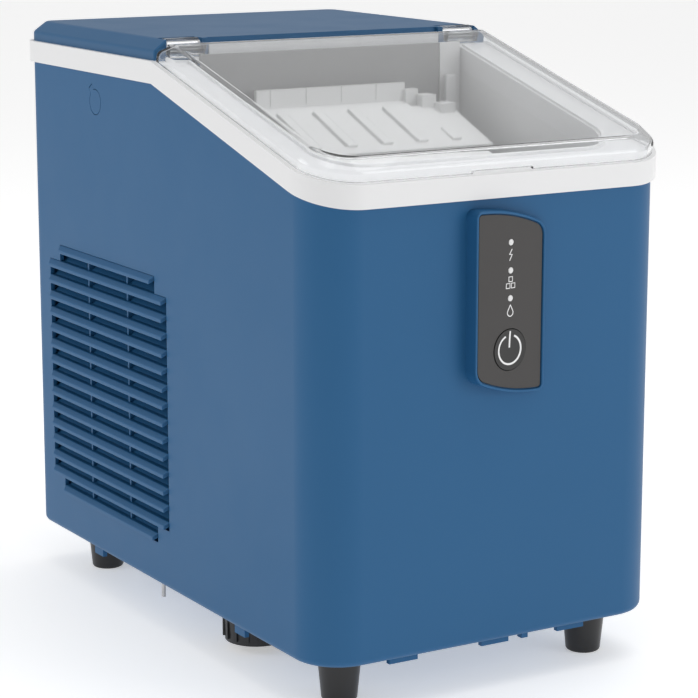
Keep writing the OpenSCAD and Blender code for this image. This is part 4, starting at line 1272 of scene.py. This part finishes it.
    def ribbon(self, surface: Surface, line: Array, half: float, place: Matrix, dished: bool = False) -> None:
        """Adds a thin raised stroke along a flat line, following the dished face if asked.

        Args:
            surface: what it is added to.
            line: points of the stroke's middle.
            half: half its width.
            place: the face's matrix.
            dished: whether it follows the button's face.
        """
        ahead = np.gradient(line, axis=0)
        ahead /= np.linalg.norm(ahead, axis=1)[:, None]
        side = np.column_stack((ahead[:, 1], -ahead[:, 0]))
        base = self.film_thick - self.depth
        edges = (line - side * half, line + side * half)
        levels = [self.dished(np.linalg.norm(e, axis=1)) if dished else np.full(len(e), base) for e in edges]
        low, high = -0.15 * MM, 0.07 * MM
        rings = np.stack((
            np.column_stack((edges[0], levels[0] + low)), np.column_stack((edges[1], levels[1] + low)),
            np.column_stack((edges[1], levels[1] + high)), np.column_stack((edges[0], levels[0] + high))), 1)
        surface.rings(rings, matrix=place)

    def marks(self) -> None:
        """Builds a plain small mark under each indicator: a bolt, three cubes and a drop."""
        mark = Surface()
        for height, lines in zip(self.lamp_heights, (self.bolt(), self.cubes(), self.drop())):
            place = self.at(height - self.symbol_drop)
            for line in lines:
                self.ribbon(mark, line * self.symbol_scale, 0.25 * MM, place)
        mark.piece("panel_marks", MARKS, "root")

    def bolt(self) -> list[Array]:
        """A small zigzag for power, in units of symbol_scale."""
        return [np.array([(0.5, 2.0), (-0.7, 0.1), (-0.1, 0.15), (0.6, 0.15), (0.1, -0.6), (-0.6, -1.9)], float)]

    def cubes(self) -> list[Array]:
        """Three small squares for ice, in units of symbol_scale."""
        square = np.array([(-0.8, -0.8), (0.8, -0.8), (0.8, 0.8), (-0.8, 0.8), (-0.8, -0.9)])
        return [square + offset for offset in ((-1.1, -0.9), (1.1, -0.9), (0.0, 1.3))]

    def drop(self) -> list[Array]:
        """A drop for water, in units of symbol_scale: a round belly drawn up to a point."""
        belly = arc((0, -0.6), 1.25, 150, 390, 18)
        return [np.vstack(((0.0, 2.0), belly, (0.0, 2.1)))]

    def build(self) -> None:
        """Builds every piece of the panel."""
        self.plinth()
        self.film()
        self.lamps()
        self.button()
        self.marks()


# ---------------------------------------------------------------- ice shovel


@dataclass
class Shovel:
    """Grooves of the ice shovel: a pair beside each rib of its ramp, and score lines on its wall.

    Attributes:
        tilt: slope of the ramp, in degrees.
        first: x of the first rib's middle.
        pitch: step from rib to rib.
        count: number of long ribs.
        offset: from a rib's middle to a groove's middle.
        width: width of a groove.
        deep: depth of a groove.
        run: where a groove begins and ends, down the ramp from its top edge.
        wall: height from the ramp's top edge to the wall's top.
        score: how far a score line stands beside its rib, and half its width.
    """

    tilt: float = 21.5
    first: float = -41.5 * MM
    pitch: float = 22.2 * MM
    count: int = 4
    offset: float = 3.5 * MM
    width: float = 1.3 * MM
    deep: float = 1.2 * MM
    run: tuple[float, float] = (-48 * MM, -9 * MM)
    wall: float = 9.7 * MM
    score: tuple[float, float] = (3 * MM, 0.4 * MM)

    def build(self) -> None:
        """Builds the shovel from the frame's own, with its grooves cut in."""
        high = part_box("ice_shovel")[1]
        line = high.y - 1.2 * MM
        foot = high.z - self.wall
        place = Matrix.Translation((0, line, foot)) @ Matrix.Rotation(math.radians(self.tilt), 4, "X")
        cuts = []
        for k in range(self.count):
            middle = self.first + k * self.pitch
            for x in (middle - self.offset, middle + self.offset):
                groove = box_of((x - self.width / 2, self.run[0], -self.deep),
                                (x + self.width / 2, self.run[1], 3 * MM), 0.3 * MM)
                cuts.append(groove.moved(place))
            x = middle - self.score[0]
            cuts.append(box_of((x - self.score[1], line - 2 * MM, foot + MM),
                               (x + self.score[1], line - 0.7 * MM, high.z + MM), 0.1 * MM))
        softened("ice_shovel", "ice_shovel_moulding", SHOVEL, 0.35 * MM, cuts)


# ---------------------------------------------------------------- feet


@dataclass
class Feet:
    """Four turned rubber feet.

    Attributes:
        low: radius on the table.
        high: radius at the base.
        bore: radius of the screw's pocket.
        hole: radius of the screw's hole.
        pocket: height of the pocket.
    """

    low: float = 9.2 * MM
    high: float = 11.8 * MM
    bore: float = 4.6 * MM
    hole: float = 2.1 * MM
    pocket: float = 8 * MM

    def build(self) -> None:
        """Builds the feet: a tapered side with a rounded sole, a ring near the top and the screw's bore."""
        for node in ("foot_front_left", "foot_front_right", "foot_rear_left", "foot_rear_right"):
            low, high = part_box(node)
            tall = high.z
            taper = (self.high - self.low) / tall
            side = [(self.low + taper * z - cut, z) for z, cut in (
                (0.0, 1.1 * MM), (0.4 * MM, 0.45 * MM), (1.2 * MM, 0.0), (tall - 5.6 * MM, 0.0),
                (tall - 5.0 * MM, 0.55 * MM), (tall - 4.4 * MM, 0.55 * MM), (tall - 3.8 * MM, 0.0),
                (tall - 0.5 * MM, 0.0), (tall, 0.35 * MM))]
            bore = [(self.hole, tall), (self.hole, self.pocket), (self.bore, self.pocket), (self.bore, 0.3 * MM),
                    (self.bore + 0.3 * MM, 0.0)]
            skin = Surface()
            place = Matrix.Translation(((low.x + high.x) / 2, (low.y + high.y) / 2, 0))
            skin.bored_profile(side + bore, place, 56)
            skin.piece(node + "_rubber", RUBBER, "root", (node,))


# ---------------------------------------------------------------- stage


@dataclass
class Studio:
    """Camera, floor and soft lights.

    Attributes:
        eye: the camera's place.
        yaw: its turn to the right of +Y, in degrees.
        pitch: how far it looks down, in degrees.
        lens: focal length on a 36 mm sensor.
        shift: the frame's shift.
        glow: light that the pale floor gives of itself.
        reach: half the floor's width.
        sky_power: strength of the white surround.
        aim: the point that the lamps face.
        lamps: name, place, size and power of each soft light.
    """

    eye: tuple[float, float, float] = (-0.6875, -1.1662, 0.4308)
    yaw: float = 30.8
    pitch: float = 11.8
    lens: float = 126.6
    shift: tuple[float, float] = (0.012, 0.0027)
    glow: float = 0.42
    reach: float = 6.0
    sky_power: float = 0.52
    aim: tuple[float, float, float] = (0.0, 0.0, 0.17)
    lamps: tuple[tuple, ...] = (("top_light", (0.3, -0.1, 1.7), 1.4, 9.0),
                                ("left_light", (-1.7, 0.7, 0.9), 1.0, 6.5),
                                ("front_light", (1.1, -1.6, 0.7), 1.0, 6.5))

    def camera(self) -> None:
        """Makes the camera and gives it to the scene."""
        data = bpy.data.cameras.new("camera")
        data.lens = self.lens
        data.sensor_width = 36.0
        data.shift_x, data.shift_y = self.shift
        data.clip_start = 0.05
        camera = linked("camera", data)
        camera.location = self.eye
        camera.rotation_euler = (math.radians(90 - self.pitch), 0.0, math.radians(-self.yaw))
        bpy.context.scene.camera = camera

    def floor(self) -> None:
        """Lays the pale floor."""
        half = self.reach
        mesh = bpy.data.meshes.new("floor")
        mesh.from_pydata([(-half, -half, 0), (half, -half, 0), (half, half, 0), (-half, half, 0)], [],
                         [(0, 1, 2, 3)])
        floor = linked("floor", mesh)
        finish = Finish("pale_floor", "", (0.93, 0.93, 0.93), 0.99, 0.6, 0.05, 300, 0.00001)
        material = material_of(finish)
        shader = material.node_tree.nodes["Principled BSDF"]
        shader.inputs["Emission Color"].default_value = (1.0, 1.0, 1.0, 1.0)
        shader.inputs["Emission Strength"].default_value = self.glow
        floor.data.materials.append(material)

    def lamp(self, name: str, place: Sequence[float], size: float, power: float) -> None:
        """Hangs a square soft light that faces the middle of the object."""
        data = bpy.data.lights.new(name, "AREA")
        data.shape = "SQUARE"
        data.size = size
        data.energy = power
        lamp = linked(name, data)
        lamp.location = place
        lamp.rotation_euler = (Vector(self.aim) - Vector(place)).to_track_quat("-Z", "Y").to_euler()

    def sky(self) -> None:
        """Gives a plain white surround."""
        world = bpy.data.worlds.new("surround")
        world.use_nodes = True
        back = world.node_tree.nodes["Background"]
        back.inputs["Color"].default_value = (1.0, 1.0, 1.0, 1.0)
        back.inputs["Strength"].default_value = self.sky_power
        bpy.context.scene.world = world

    def build(self) -> None:
        """Sets the whole stage."""
        self.camera()
        self.floor()
        self.sky()
        for lamp in self.lamps:
            self.lamp(*lamp)
        bpy.context.scene.view_settings.view_transform = "Standard"


def main() -> None:
    """Builds the stage and every sub-assembly."""
    logging.basicConfig(level=logging.INFO, format="%(name)s %(message)s")
    moulded_group()
    drawn_group()
    Studio().build()
    finishes = {"blue_shell": BLUE, "white_trim": WHITE, "clear_lid": CLEAR, "white_liner": LINER,
                "basket": BASKET, "foam": FOAM, "grey_curtain": CURTAIN, "plated_metal": PLATED,
                "aluminium_fin": FIN, "dark_overlay": OVERLAY, "dark_button": BUTTON, "lens": LENS,
                "circuit_board": BOARD, "rubber_feet": RUBBER, "black_plastic": BLACK,
                "screw_steel": STEEL, "motor_case": MOTOR, "compressor_black": CAN, "copper": COPPER,
                "hose": HOSE, "impeller": ORANGE}
    slots = {s["node"]: s["material_slot"] for s in frame["record"]["subparts"]}
    casing = Casing()
    casing.shell()
    for side in (-1, 1):
        Grille(side).build()
    Deck(casing).build()
    Lid(casing).build()
    Shovel().build()
    ControlPanel().build()
    Feet().build()
    for node, item in frame["nodes"].items():
        if not item.hide_render:
            softened(node, node + "_piece", finishes[slots[node]])


if __name__ == "__main__":
    main()
